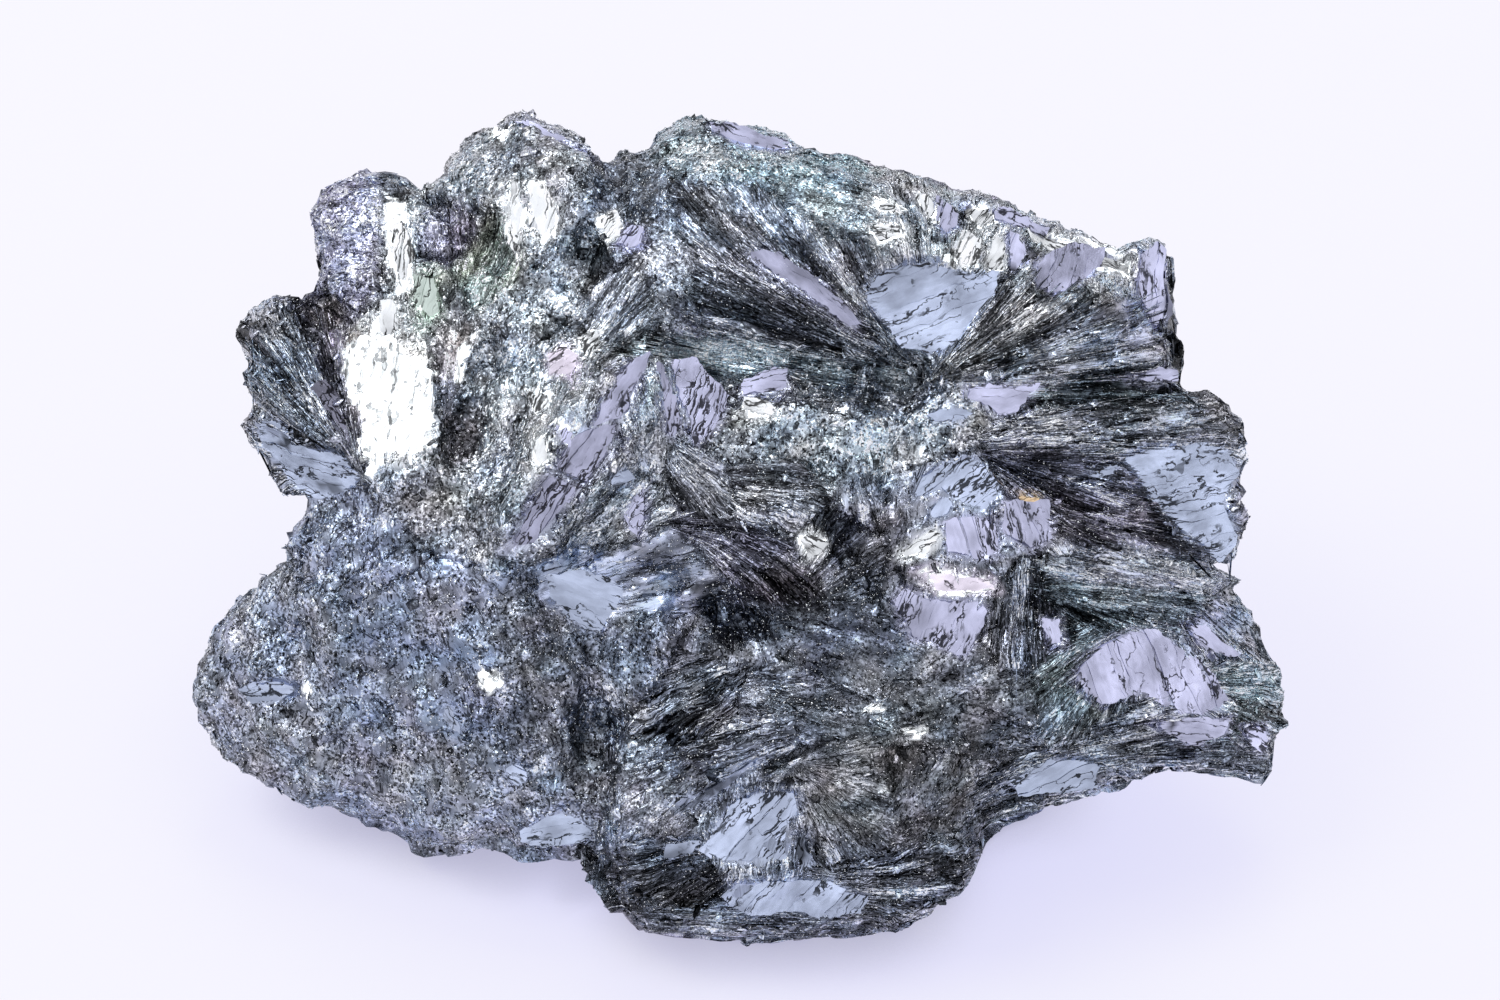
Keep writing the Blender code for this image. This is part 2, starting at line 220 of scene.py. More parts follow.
# %% Outline as seen from the camera
OUTLINE = [
    (55.8, -6.1), (53.1, -4.7), (52.1, -3.6), (54.2, -2.4), (54.1, -0.9), (54.9, 0.2), (55.2, 1.9),
    (54.1, 3.0), (54.9, 4.3), (54.8, 6.0), (55.4, 7.8), (54.7, 8.9), (54.8, 10.5), (53.8, 12.5),
    (52.9, 13.9), (51.2, 14.8), (49.3, 15.2), (49.1, 16.5), (48.6, 17.9), (48.3, 20.3), (47.9, 23.3),
    (47.8, 27.4), (47.4, 29.4), (46.5, 30.1), (46.3, 31.4), (45.2, 31.8), (44.1, 31.2), (42.3, 30.7),
    (40.1, 31.2), (38.1, 32.0), (35.3, 33.2), (32.5, 34.1), (30.0, 35.5), (28.4, 36.3), (26.2, 36.6),
    (23.4, 36.7), (20.9, 37.4), (18.2, 38.3), (13.9, 39.7), (12.6, 40.6), (11.2, 40.9), (9.7, 40.6),
    (7.9, 41.5), (6.4, 42.4), (5.0, 43.5), (2.8, 44.0), (-2.8, 45.2), (-4.6, 45.4), (-6.6, 44.9),
    (-8.2, 43.9), (-9.9, 42.4), (-11.5, 41.7), (-12.6, 42.2), (-14.1, 41.0), (-15.0, 40.7), (-15.8, 41.7),
    (-17.6, 42.5), (-22.3, 44.9), (-23.8, 45.5), (-25.3, 45.0), (-26.6, 44.0), (-28.7, 43.4), (-30.1, 42.8),
    (-30.7, 41.4), (-31.7, 40.6), (-32.2, 39.0), (-34.2, 37.8), (-35.9, 37.5), (-37.2, 38.7), (-39.0, 39.3),
    (-42.1, 39.2), (-44.1, 38.3), (-45.4, 37.1), (-46.2, 35.7), (-47.1, 34.7), (-46.5, 33.4), (-46.8, 31.7),
    (-46.3, 30.1), (-46.4, 27.0), (-46.9, 26.0), (-48.2, 25.8), (-48.6, 24.9), (-50.6, 25.5), (-51.8, 25.1),
    (-52.7, 24.2), (-55.1, 22.3), (-55.3, 21.3), (-54.7, 20.3), (-54.8, 19.2), (-54.0, 18.0), (-54.7, 17.3),
    (-54.3, 16.2), (-52.7, 13.9), (-53.3, 12.3), (-54.1, 11.2), (-53.7, 9.8), (-51.6, 7.3), (-50.9, 5.7),
    (-49.3, 4.2), (-48.2, 3.0), (-48.5, 1.9), (-50.0, -0.3), (-51.0, -1.9), (-50.5, -3.4), (-51.1, -4.6),
    (-52.7, -5.4), (-56.6, -9.4), (-58.2, -11.9), (-59.6, -15.5), (-59.8, -18.8), (-59.2, -21.0),
    (-58.0, -23.8), (-56.6, -25.3), (-54.8, -26.9), (-53.7, -27.1), (-52.7, -28.4), (-50.3, -30.1),
    (-47.8, -31.1), (-45.2, -31.0), (-42.8, -31.8), (-38.8, -32.8), (-37.0, -34.1), (-34.8, -35.0),
    (-32.0, -35.2), (-28.9, -34.6), (-26.4, -34.9), (-24.9, -36.1), (-23.1, -36.1), (-21.2, -35.5),
    (-17.1, -35.6), (-16.8, -36.7), (-16.5, -37.8), (-15.1, -39.7), (-14.3, -41.2), (-12.3, -43.2),
    (-10.5, -44.6), (-7.7, -45.2), (-4.4, -45.3), (6.6, -44.9), (12.1, -44.7), (14.5, -44.2), (16.3, -44.5),
    (18.2, -43.7), (20.9, -43.0), (22.5, -41.7), (24.2, -40.6), (25.6, -38.5), (26.2, -36.5), (26.9, -34.9),
    (26.8, -33.6), (27.8, -32.8), (31.4, -31.5), (41.7, -29.1), (43.1, -28.1), (45.2, -27.0), (47.9, -26.7),
    (51.8, -27.4), (55.1, -27.9), (57.5, -27.7), (58.4, -25.5), (58.5, -23.5), (59.3, -22.5), (60.5, -21.5),
    (59.7, -20.4), (59.9, -17.7), (59.5, -15.0), (57.5, -12.6), (57.1, -10.0), (56.2, -8.6), (54.0, -6.3),
]
# The camera aims at this place on the face plane, from this far out, in mm.
AIM = np.array([1.1, 3.2])
DISTANCE = 505.0
print(len(OUTLINE), "points in the outline")


# %% Bring the rim to the outline
RIM_BINS = 480
STEPS_PER_SIDE = 12
# Share of the radius where points start to move, and over how much of it they come to move fully
MOVES_FROM, MOVES_OVER = 0.62, 0.34
# The foot stays on the ground: nothing moves below the first height, in mm.
GROUND_CLEAR, GROUND_BLEND = 1.0, 3.0


def zoom_of(at):
    """How much larger each point of the face frame looks than if it lay on the face plane."""
    return (DISTANCE / (DISTANCE - at[:, 2]))[:, None]


def as_seen(at):
    """Where points of the face frame appear on the face plane, as seen from the camera."""
    return AIM + (at[:, :2] - AIM) * zoom_of(at)


def outline_radius(angles):
    """Radius of the outline along each angle, from points walked along its sides."""
    corners = np.array(OUTLINE + OUTLINE[:1])
    sides = zip(corners, corners[1:])
    walked = np.concatenate([np.linspace(a, b, STEPS_PER_SIDE, endpoint=False) for a, b in sides])
    at = np.arctan2(walked[:, 1], walked[:, 0])
    order = np.argsort(at)
    return np.interp(angles, at[order], np.hypot(*walked[order].T), period=2 * math.pi)


def rim_radius(angle, radius):
    """Radius of the skin's own rim along each point's angle."""
    slot = ((angle + math.pi) / (2 * math.pi) * RIM_BINS).astype(int) % RIM_BINS
    rim = np.zeros(RIM_BINS)
    np.maximum.at(rim, slot, radius)
    rim = np.maximum(rim, 0.5 * (np.roll(rim, 1) + np.roll(rim, -1)))
    middles = (np.arange(RIM_BINS) + 0.5) / RIM_BINS * 2 * math.pi - math.pi
    return np.interp(angle, middles, rim, period=2 * math.pi)


def meet_outline(mesh):
    places = to_face(read_points(mesh))
    seen = as_seen(places)
    angle, radius = np.arctan2(seen[:, 1], seen[:, 0]), np.hypot(seen[:, 0], seen[:, 1])
    now = rim_radius(angle, radius)
    share = 1.0 - fade((radius / now - MOVES_FROM) / MOVES_OVER)
    above_ground = np.clip((read_points(mesh)[:, 2] / MM - GROUND_CLEAR) / GROUND_BLEND, 0.0, 1.0)
    stretch = 1.0 + (outline_radius(angle) / now - 1.0) * share * above_ground
    places[:, :2] = AIM + (seen * stretch[:, None] - AIM) / zoom_of(places)
    points = from_face(places)
    points[:, 2] = np.maximum(points[:, 2], 0.0)
    mesh.vertices.foreach_set("co", points.ravel())
    mesh.update()
    print("the rim moved by", round(float(np.abs((stretch - 1.0) * radius).max()), 1), "mm at most")


meet_outline(body_mesh)

# %% Facts about the skin
FRONT_TURN, FRONT_DEPTH = 0.05, -14.0

points = read_points(body_mesh)
normals = read_points(body_mesh, "normal")
places = to_face(points)
seen = as_seen(places)
facing = normals @ OUTWARD
is_front = (facing > FRONT_TURN) & (places[:, 2] > FRONT_DEPTH)
body_tree = BVHTree.FromPolygons(points.tolist(), [p.vertices[:] for p in body_mesh.polygons])
print("body:", len(points), "points,", int(is_front.sum()), "of them on the face")

# %% [markdown]
# ## Tints
# Hematite's mirror grey is a cool metal grey. Thin films on the plates give it a lavender, teal,
# violet or brown cast. Each tint is how much red, green and blue light it reflects, and one
# short list of them keeps the whole stone in the same family.

# %% Tints
STEEL = (0.365, 0.405, 0.490)
BLUE = (0.41, 0.465, 0.60)
LAVENDER = (0.45, 0.46, 0.61)
TEAL = (0.34, 0.42, 0.475)
VIOLET = (0.355, 0.355, 0.455)
BROWN = (0.335, 0.32, 0.345)
OLIVE = (0.345, 0.365, 0.405)
GREEN = (0.52, 0.60, 0.55)
ROSE = (0.76, 0.70, 0.80)
AMBER = (0.80, 0.60, 0.38)
# Near white is no colour of hematite: this tint is a painted highlight, for the places that flash.
PAINTED_HIGHLIGHT = (0.93, 0.96, 0.97)
SILVER = (0.40, 0.44, 0.487)
print("the mirror grey reflects", STEEL, "of red, green and blue")

# %% [markdown]
# ## Sheaves
# A sheaf is a patch whose pages all spread from one line, its root. One noise over the whole
# stone could not show that, so each sheaf is a row of a table: where its patch is and how big,
# where its root is, how its pages curl, how grainy it is instead of paged, and how light it is.
# Silk is the share of its pages that lie flat and shine. Shatter is 0 for a calm patch and 1
# for shards turned every way, or pages with deep gaps between them.

# %% Sheaves of the face
# name: x, y, half length, half width, turn, root x, root y, curl, grain, light, silk, shatter, tint
SHEAVES = {
    "left_fan": (-48.5, 16.0, 12.5, 6.0, 128, -40.3, 5.6, 0.0, 0.05, 0.87, 0.34, 1.0, STEEL),
    "left_fan_inner": (-44.5, 17.5, 11.0, 2.6, 112, -40.3, 5.6, 0.0, 0.2, 0.72, 0.46, 0.5, VIOLET),
    "left_brown": (-46.0, 23.6, 3.4, 2.4, 20, -40.0, 10.0, 0.0, 0.8, 0.7, 0.3, 0.5, BROWN),
    "left_lobe": (-43.4, 32.0, 4.6, 7.4, 0, -80.0, 34.0, 0.0, 0.6, 1.28, 0.3, 0.6, LAVENDER),
    "white_flakes": (-38.0, 31.0, 2.6, 7.0, 0, -36.0, 5.0, 0.0, 0.6, 1.5, 0.3, 1.0, SILVER),
    # The bright slope's near-white tint is a painted highlight.
    "bright_slope": (-38.6, 14.5, 5.0, 8.4, 4, -38.0, -20.0, 0.0, 0.6, 1.3, 0.5, 0.3, PAINTED_HIGHLIGHT),
    "brown_seam": (-32.2, 19.0, 2.0, 8.0, 2, -31.0, -20.0, 0.0, 0.6, 1.0, 0.3, 0.8, BROWN),
    "pockets": (-32.2, 32.2, 3.2, 2.8, 0, -30.0, 20.0, 0.0, 0.5, 0.78, 0.3, 0.5, VIOLET),
    "pale_green": (-28.0, 29.2, 3.2, 4.2, 0, -34.0, 10.0, 0.0, 0.4, 1.25, 0.3, 0.5, GREEN),
    "pale_green_left": (-34.3, 25.4, 2.4, 3.6, 0, -32.0, 0.0, 0.0, 0.6, 0.95, 0.3, 1.0, GREEN),
    "left_peak": (-25.0, 41.0, 8.0, 4.6, -8, -22.0, 10.0, 0.0, 0.85, 1.4, 0.3, 0.55, SILVER),
    "peak_streaks": (-19.5, 33.5, 4.0, 7.0, 8, -21.0, 5.0, -0.006, 0.65, 0.95, 0.3, 0.45, SILVER),
    "curved_streaks": (-24.0, 22.0, 5.4, 7.4, -38, -36.0, 6.0, 0.012, 0.7, 1.12, 0.3, 0.45, SILVER),
    "pale_streaks": (-24.0, 12.5, 5.4, 8.0, -18, -30.0, -20.0, 0.0, 0.55, 1.55, 0.44, 0.8, SILVER),
    "brown_wedge": (-30.4, 10.4, 2.2, 4.4, -25, -34.0, 0.0, 0.0, 0.75, 0.56, 0.3, 0.5, BROWN),
    "saddle": (-12.5, 36.5, 5.0, 6.6, 0, -6.0, 10.0, 0.0, 0.7, 0.79, 0.3, 0.4, STEEL),
    "crest": (-1.5, 41.0, 9.5, 3.0, -4, -6.0, 12.0, 0.0, 0.85, 1.28, 0.3, 0.3, TEAL),
    "crest_right": (9.0, 37.4, 7.0, 3.4, -24, 42.0, 24.0, 0.0, 0.6, 1.19, 0.3, 0.25, TEAL),
    "top_sheaf": (1.0, 31.5, 11.0, 7.0, -30, 19.5, 17.5, -0.007, 0.25, 0.61, 0.36, 0.2, STEEL),
    "top_sheaf_low": (2.0, 24.4, 11.0, 3.8, -26, 19.5, 17.0, -0.004, 0.05, 0.48, 0.3, 0.8, STEEL),
    "top_sheaf_left": (-8.0, 29.0, 4.2, 7.0, 10, 2.0, 18.0, -0.01, 0.65, 0.62, 0.3, 0.3, STEEL),
    "under_crest": (-12.5, 25.0, 5.0, 3.4, 48, -24.0, 12.0, 0.004, 0.3, 0.78, 0.3, 0.3, STEEL),
    "lip": (2.0, 19.0, 13.0, 1.5, -8, 60.0, 9.0, 0.0, 0.1, 1.21, 0.3, 0.3, TEAL),
    # The ridge rows are so light that their tone caps near white: a painted highlight.
    "ridge": (26.0, 32.2, 10.0, 3.8, -24, 20.0, 18.0, 0.006, 0.4, 2.45, 0.44, 1.0, SILVER),
    "ridge_end": (39.5, 28.4, 5.4, 3.0, -14, 38.0, -30.0, 0.0, 0.5, 4.07, 0.44, 1.0, SILVER),
    "right_pages": (47.6, 24.0, 1.2, 7.0, 4, 50.0, -60.0, 0.0, 0.0, 0.28, 0.3, 0.5, STEEL),
    "right_fan_top": (30.5, 22.6, 7.0, 3.4, 34, 20.0, 15.6, 0.004, 0.08, 0.62, 0.3, 1.0, OLIVE),
    "right_fan": (38.5, 20.5, 9.0, 4.0, 14, 20.0, 15.6, 0.002, 0.05, 1.02, 0.6, 1.0, STEEL),
    "right_fan_low": (41.0, 15.8, 8.0, 2.2, 4, 18.0, 14.6, 0.0, 0.05, 0.39, 0.46, 1.0, TEAL),
    "wing_fibres": (41.0, 11.4, 14.0, 2.2, 4, 8.0, 8.0, 0.0, 0.15, 0.86, 0.36, 1.0, STEEL),
    "wing_lead": (35.5, 5.2, 9.0, 3.6, -14, 24.5, 8.6, 0.004, 0.05, 0.36, 0.36, 0.9, VIOLET),
    "wing_dark": (44.0, 0.2, 9.0, 2.4, -4, 24.5, 4.0, 0.0, 0.05, 0.4, 0.44, 0.5, VIOLET),
    "wing_band": (44.5, -4.6, 9.0, 1.8, -4, 14.0, -1.0, -0.003, 0.1, 3.35, 0.46, 0.5, STEEL),
    "wing_spray": (43.0, -7.6, 8.0, 1.8, -4, 30.0, -6.0, 0.0, 0.15, 0.78, 0.3, 0.5, TEAL),
    "wing_tip": (55.6, -10.5, 3.4, 4.6, 24, 44.0, -4.0, 0.0, 0.3, 1.6, 0.6, 0.9, STEEL),
    "wing_end": (56.4, -18.4, 3.6, 4.4, -10, 44.0, -16.0, 0.0, 0.3, 0.96, 0.3, 0.8, TEAL),
    "wing_foot": (46.5, -24.6, 11.0, 2.4, -2, 10.0, -34.0, -0.006, 0.05, 1.03, 0.42, 0.5, STEEL),
    "wing_foot_left": (33.5, -28.4, 7.5, 3.0, 16, 12.0, -36.0, -0.004, 0.3, 0.66, 0.44, 0.5, STEEL),
    "curl_by_plate": (36.4, -19.0, 3.6, 5.0, 0, 46.0, -10.0, 0.02, 0.3, 0.58, 0.3, 0.5, TEAL),
    "upright_fibres": (30.4, -8.6, 3.0, 6.4, 0, 31.6, 9.0, 0.004, 0.3, 0.42, 0.3, 0.8, STEEL),
    "olive_mat": (24.5, -19.5, 8.0, 5.4, -10, 6.0, -22.0, 0.006, 0.6, 0.52, 0.3, 0.3, OLIVE),
    "olive_spray": (21.5, -29.0, 6.0, 5.0, 10, 16.0, -34.0, 0.006, 0.6, 0.41, 0.3, 0.5, OLIVE),
    "mid_mat": (12.5, -13.8, 6.6, 4.6, -8, 0.0, -9.0, -0.006, 0.6, 0.43, 0.3, 0.4, STEEL),
    "mid_mat_low": (6.5, -18.6, 6.6, 3.6, -6, -8.0, -18.0, -0.004, 0.5, 0.42, 0.3, 0.5, STEEL),
    "stripes": (-6.0, -19.0, 7.5, 3.8, 30, 12.0, -8.6, 0.0, 0.35, 0.48, 0.36, 1.0, STEEL),
    "stripes_left": (-12.0, -15.5, 3.4, 5.0, 0, -12.0, 4.0, 0.0, 0.75, 0.48, 0.3, 0.5, STEEL),
    "under_hollow": (0.5, -12.6, 5.0, 2.6, 0, -2.0, -4.0, 0.0, 0.6, 0.36, 0.3, 0.5, STEEL),
    "lobe_left": (-9.5, -29.0, 5.6, 5.2, 34, 6.0, -18.0, 0.0, 0.55, 0.66, 0.3, 0.4, STEEL),
    "lobe_upper": (-0.5, -23.6, 7.0, 2.2, 22, 14.0, -18.4, 0.0, 0.35, 0.55, 0.4, 0.9, STEEL),
    "lobe_dark": (-8.6, -38.4, 6.6, 4.0, -12, 4.0, -33.0, 0.0, 0.35, 0.23, 0.3, 0.9, STEEL),
    "lobe_edge": (0.0, -43.4, 14.0, 1.4, 0, 60.0, -43.0, 0.0, 0.15, 0.5, 0.3, 0.5, STEEL),
    "lobe_middle": (1.6, -35.0, 4.6, 5.6, 0, 0.0, -60.0, 0.0, 0.4, 0.42, 0.3, 0.5, STEEL),
    "lobe_right": (12.0, -31.0, 7.0, 6.0, -20, 5.4, -24.4, 0.004, 0.45, 0.53, 0.3, 0.5, OLIVE),
    "lobe_right_low": (17.0, -38.8, 8.0, 4.0, 10, 4.0, -36.6, 0.012, 0.35, 0.51, 0.3, 0.9, STEEL),
    "lobe_side": (-15.0, -27.0, 1.9, 9.0, 0, -15.0, 20.0, 0.0, 0.7, 0.64, 0.3, 0.5, STEEL),
    "centre_grains": (14.0, 12.0, 14.0, 5.2, 0, 20.0, 30.0, 0.0, 0.9, 1.2, 0.3, 0.6, SILVER),
    "centre_left": (1.0, 11.0, 5.0, 3.6, 0, 6.0, 20.0, 0.0, 0.8, 0.72, 0.3, 0.5, SILVER),
    "beside_petals": (-9.4, 12.0, 2.6, 6.0, -10, -8.6, -12.0, 0.006, 0.55, 1.19, 0.3, 0.5, SILVER),
    "curl_left": (-4.0, 5.4, 4.4, 2.6, -46, -12.0, 14.0, 0.008, 0.3, 0.5, 0.3, 0.5, STEEL),
    "curl_lines": (3.6, 4.0, 5.6, 3.6, -6, -12.0, 5.6, -0.006, 0.35, 0.5, 0.3, 0.7, STEEL),
    "curl_low": (1.6, -3.4, 6.6, 2.6, -30, -9.0, 0.6, -0.022, 0.3, 0.4, 0.3, 0.7, VIOLET),
    "curl_right": (12.0, -2.0, 4.4, 4.6, 40, 3.0, -10.0, 0.0, 0.4, 0.31, 0.3, 0.5, STEEL),
    "cluster": (24.0, -0.5, 8.0, 9.0, 0, 24.0, 16.0, 0.0, 0.6, 0.51, 0.46, 0.5, STEEL),
    "cluster_left": (13.8, 1.5, 2.8, 4.6, 0, 12.0, 14.0, 0.004, 0.5, 0.9, 0.42, 0.9, STEEL),
    "chips": (-14.0, 2.4, 4.6, 4.0, 40, -24.0, -8.0, 0.0, 0.45, 0.86, 0.44, 0.8, SILVER),
    "grey_patch": (-14.0, -5.6, 8.6, 3.4, 12, -40.0, -14.0, 0.0, 0.4, 0.92, 0.62, 0.3, BLUE),
    "slant": (-22.4, 3.6, 3.0, 6.0, -36, -32.0, -8.0, 0.0, 0.6, 0.88, 0.42, 0.8, SILVER),
    "grain_top": (-32.5, 2.6, 8.0, 4.6, -8, -30.0, 20.0, 0.0, 0.95, 1.16, 0.3, 0.3, OLIVE),
    "grain_upper": (-42.0, -2.0, 7.0, 6.0, 30, -40.0, 20.0, 0.0, 0.92, 0.84, 0.44, 0.15, BLUE),
    "grain_left": (-50.0, -15.0, 9.0, 9.0, 20, -40.0, 10.0, 0.0, 1.0, 0.73, 0.4, 0.05, STEEL),
    "grain_middle": (-36.0, -14.0, 9.0, 9.0, -10, -40.0, 10.0, 0.0, 0.92, 0.66, 0.44, 0.08, BLUE),
    "grain_low": (-34.0, -28.0, 13.0, 6.0, -12, -40.0, 0.0, 0.0, 0.95, 0.78, 0.42, 0.05, STEEL),
    "grain_right": (-21.0, -18.0, 5.6, 10.0, 0, -24.0, 6.0, 0.004, 0.7, 0.57, 0.3, 0.3, STEEL),
}
print(len(SHEAVES), "sheaves on the face")

# %% What each sheaf passes on
ROOT_HEIGHT = 6.0


def face_sheaf(x, y, length, width, turn, root_x, root_y, curl, grain, light, silk, shatter, tint):
    return {
        "root": from_face([root_x, root_y, ROOT_HEIGHT]), "axes": FACE_AXES, "curl": curl, "grain": grain,
        "tone": np.array(tint) * light, "middle": math.atan2(y - root_y, x - root_x),
        "reach": math.hypot(x - root_x, y - root_y), "silk": silk, "shatter": shatter,
    }


SHEAF_ROWS = [face_sheaf(*row) for row in SHEAVES.values()]
FRONT_COUNT = len(SHEAF_ROWS)
print("the widest sheaf reaches", round(max(row["reach"] for row in SHEAF_ROWS)), "mm from its root")

# %% [markdown]
# ## The hidden sides
# The back broke the same way. Nobody looks at it as closely, so its sheaves aren't listed one by
# one: their places are spread evenly over it by always taking the candidate that is farthest
# from the places chosen before.

# %% Sheaves of the back
BACK_SHEAVES = 34
CANDIDATES = 60
BACK_REACH = 16.0
BACK_CURL = 0.012
BACK_TINTS = (STEEL, BLUE, TEAL, STEEL, OLIVE, VIOLET, STEEL, BLUE)

back_points = points[~is_front]
back_normals = normals[~is_front]


def back_sheaf(seed, tint):
    out = unit(back_normals[seed])
    side = unit(np.cross(out, [0.0, 0.3, 1.0]))
    up = np.cross(out, side)
    way = chance.uniform(0.0, 2.0 * math.pi)
    return {
        "root": back_points[seed] - (side * math.cos(way) + up * math.sin(way)) * BACK_REACH * MM,
        "axes": np.stack([side, up, out]), "curl": chance.uniform(-BACK_CURL, BACK_CURL),
        "grain": float(chance.choice([0.1, 0.3, 0.6, 0.9])),
        "tone": np.array(tint) * chance.uniform(0.5, 0.85), "middle": way, "reach": BACK_REACH,
        "silk": float(chance.choice([0.28, 0.36, 0.46])), "shatter": float(chance.uniform(0.0, 0.8)),
    }


seeds = [int(chance.integers(len(back_points)))]
while len(seeds) < BACK_SHEAVES:
    trial = chance.integers(len(back_points), size=CANDIDATES)
    gaps = np.linalg.norm(back_points[trial][:, None] - back_points[seeds][None], axis=2).min(axis=1)
    seeds.append(int(trial[gaps.argmax()]))
SHEAF_ROWS += [back_sheaf(seed, BACK_TINTS[k % len(BACK_TINTS)]) for k, seed in enumerate(seeds)]
print(len(SHEAF_ROWS), "sheaves in all")

# %% [markdown]
# ## Which sheaf a point belongs to
# A point of the face belongs to the sheaf it lies deepest in. A little noise makes the borders
# ragged, as where two sheaves grew into each other, and tone and grain blend over a short way
# so that no border looks painted. The seam itself gets a line of painted shade in places, as a crease would.

# %% Sheaf of each point
# How far borders wander, in mm on the face and in shares of a sheaf's spread on the back
RAGGED_EDGE, BACK_RAGGED = 1.6, 0.3
BACK_SPREAD = 9.0
SEAM_WIDTH = 0.10
BLEND_SHARPNESS = 7.0


def cloud(size, octaves, shift=0.0):
    """Soft noise at every point of the skin, between about -1 and 1. Another shift, another noise."""
    return np.array([noise.fractal(Vector(p) / size, 0.9, 2.0, octaves) for p in points / MM + shift])


def front_depths(x, y, ragged):
    """How deep in each face sheaf the points lie: 0 at its heart, 1 at its border."""
    depths = []
    for row in SHEAVES.values():
        along, across = turned(x - row[0], y - row[1], row[4])
        tear = RAGGED_EDGE / min(row[2], row[3])
        depths.append(np.hypot(along / row[2], across / row[3]) + ragged * tear)
    return np.array(depths)


def back_depths(where, ragged):
    spread = [np.linalg.norm(where - back_points[seed], axis=1) / MM for seed in seeds]
    return np.array(spread) / BACK_SPREAD + ragged * BACK_RAGGED


ROW_TONES, ROW_GRAINS, silks, shatters = (
    np.array([row[fact] for row in SHEAF_ROWS]) for fact in ("tone", "grain", "silk", "shatter"))


def sheaf_of(where, front, ragged):
    """The sheaf of each point, its blended tone and grain, and how near a seam it is."""
    which = np.empty(len(where), int)
    tone, grain, seam = np.empty((len(where), 3)), np.empty(len(where)), np.empty(len(where))
    at = as_seen(to_face(where))
    for own, depths, first in (
        (front, front_depths(at[front, 0], at[front, 1], ragged[front]), 0),
        (~front, back_depths(where[~front], ragged[~front]), FRONT_COUNT),
    ):
        which[own] = first + depths.argmin(axis=0)
        nearest = np.partition(depths, 1, axis=0)[:2]
        seam[own] = fade((nearest[1] - nearest[0]) / SEAM_WIDTH)
        shares = np.exp(-BLEND_SHARPNESS * (depths - nearest[0]))
        shares /= shares.sum(axis=0)
        tone[own] = shares.T @ ROW_TONES[first:first + len(depths)]
        grain[own] = shares.T @ ROW_GRAINS[first:first + len(depths)]
    return which, tone, grain, seam


ragged = cloud(4.0, 3)
which, tone, grain, seam = sheaf_of(points, is_front, ragged)
print("points of the face that are mostly grain:", int((grain[is_front] > 0.5).sum()))


# %% Along and across the pages
def sheaf_polar(where, row):
    """Radius and angle of points round the root of their sheaf, and where they lie on its axes."""
    local = (where - row["root"]) @ row["axes"].T / MM
    return np.hypot(local[:, 0], local[:, 1]), np.arctan2(local[:, 1], local[:, 0]), local


def page_ways(row, radius, swing):
    """The way a page runs at each radius and angle, which a curled page turns a little."""
    lean = swing + np.arctan(row["curl"] * radius)
    return np.stack([np.cos(lean), np.sin(lean), np.zeros_like(lean)], axis=-1) @ row["axes"]


def page_frame(where, which, normal):
    """How far along its page each point is, how far across the pages, and both directions."""
    along, across = np.empty(len(where)), np.empty(len(where))
    ways = np.empty((len(where), 3))
    for k in np.unique(which):
        row = SHEAF_ROWS[k]
        own = which == k
        radius, angle, _ = sheaf_polar(where[own], row)
        swing = (angle - row["middle"] + math.pi) % (2 * math.pi) - math.pi - row["curl"] * radius
        along[own] = radius
        across[own] = swing * row["reach"]
        ways[own] = page_ways(row, radius, angle)
    ways = unit(ways - (ways * normal).sum(axis=1, keepdims=True) * normal)
    return along, across, ways, unit(np.cross(normal, ways))


along, across, ways, lays = page_frame(points, which, normals)
print("pages run over", round(float(np.ptp(along))), "mm at most")
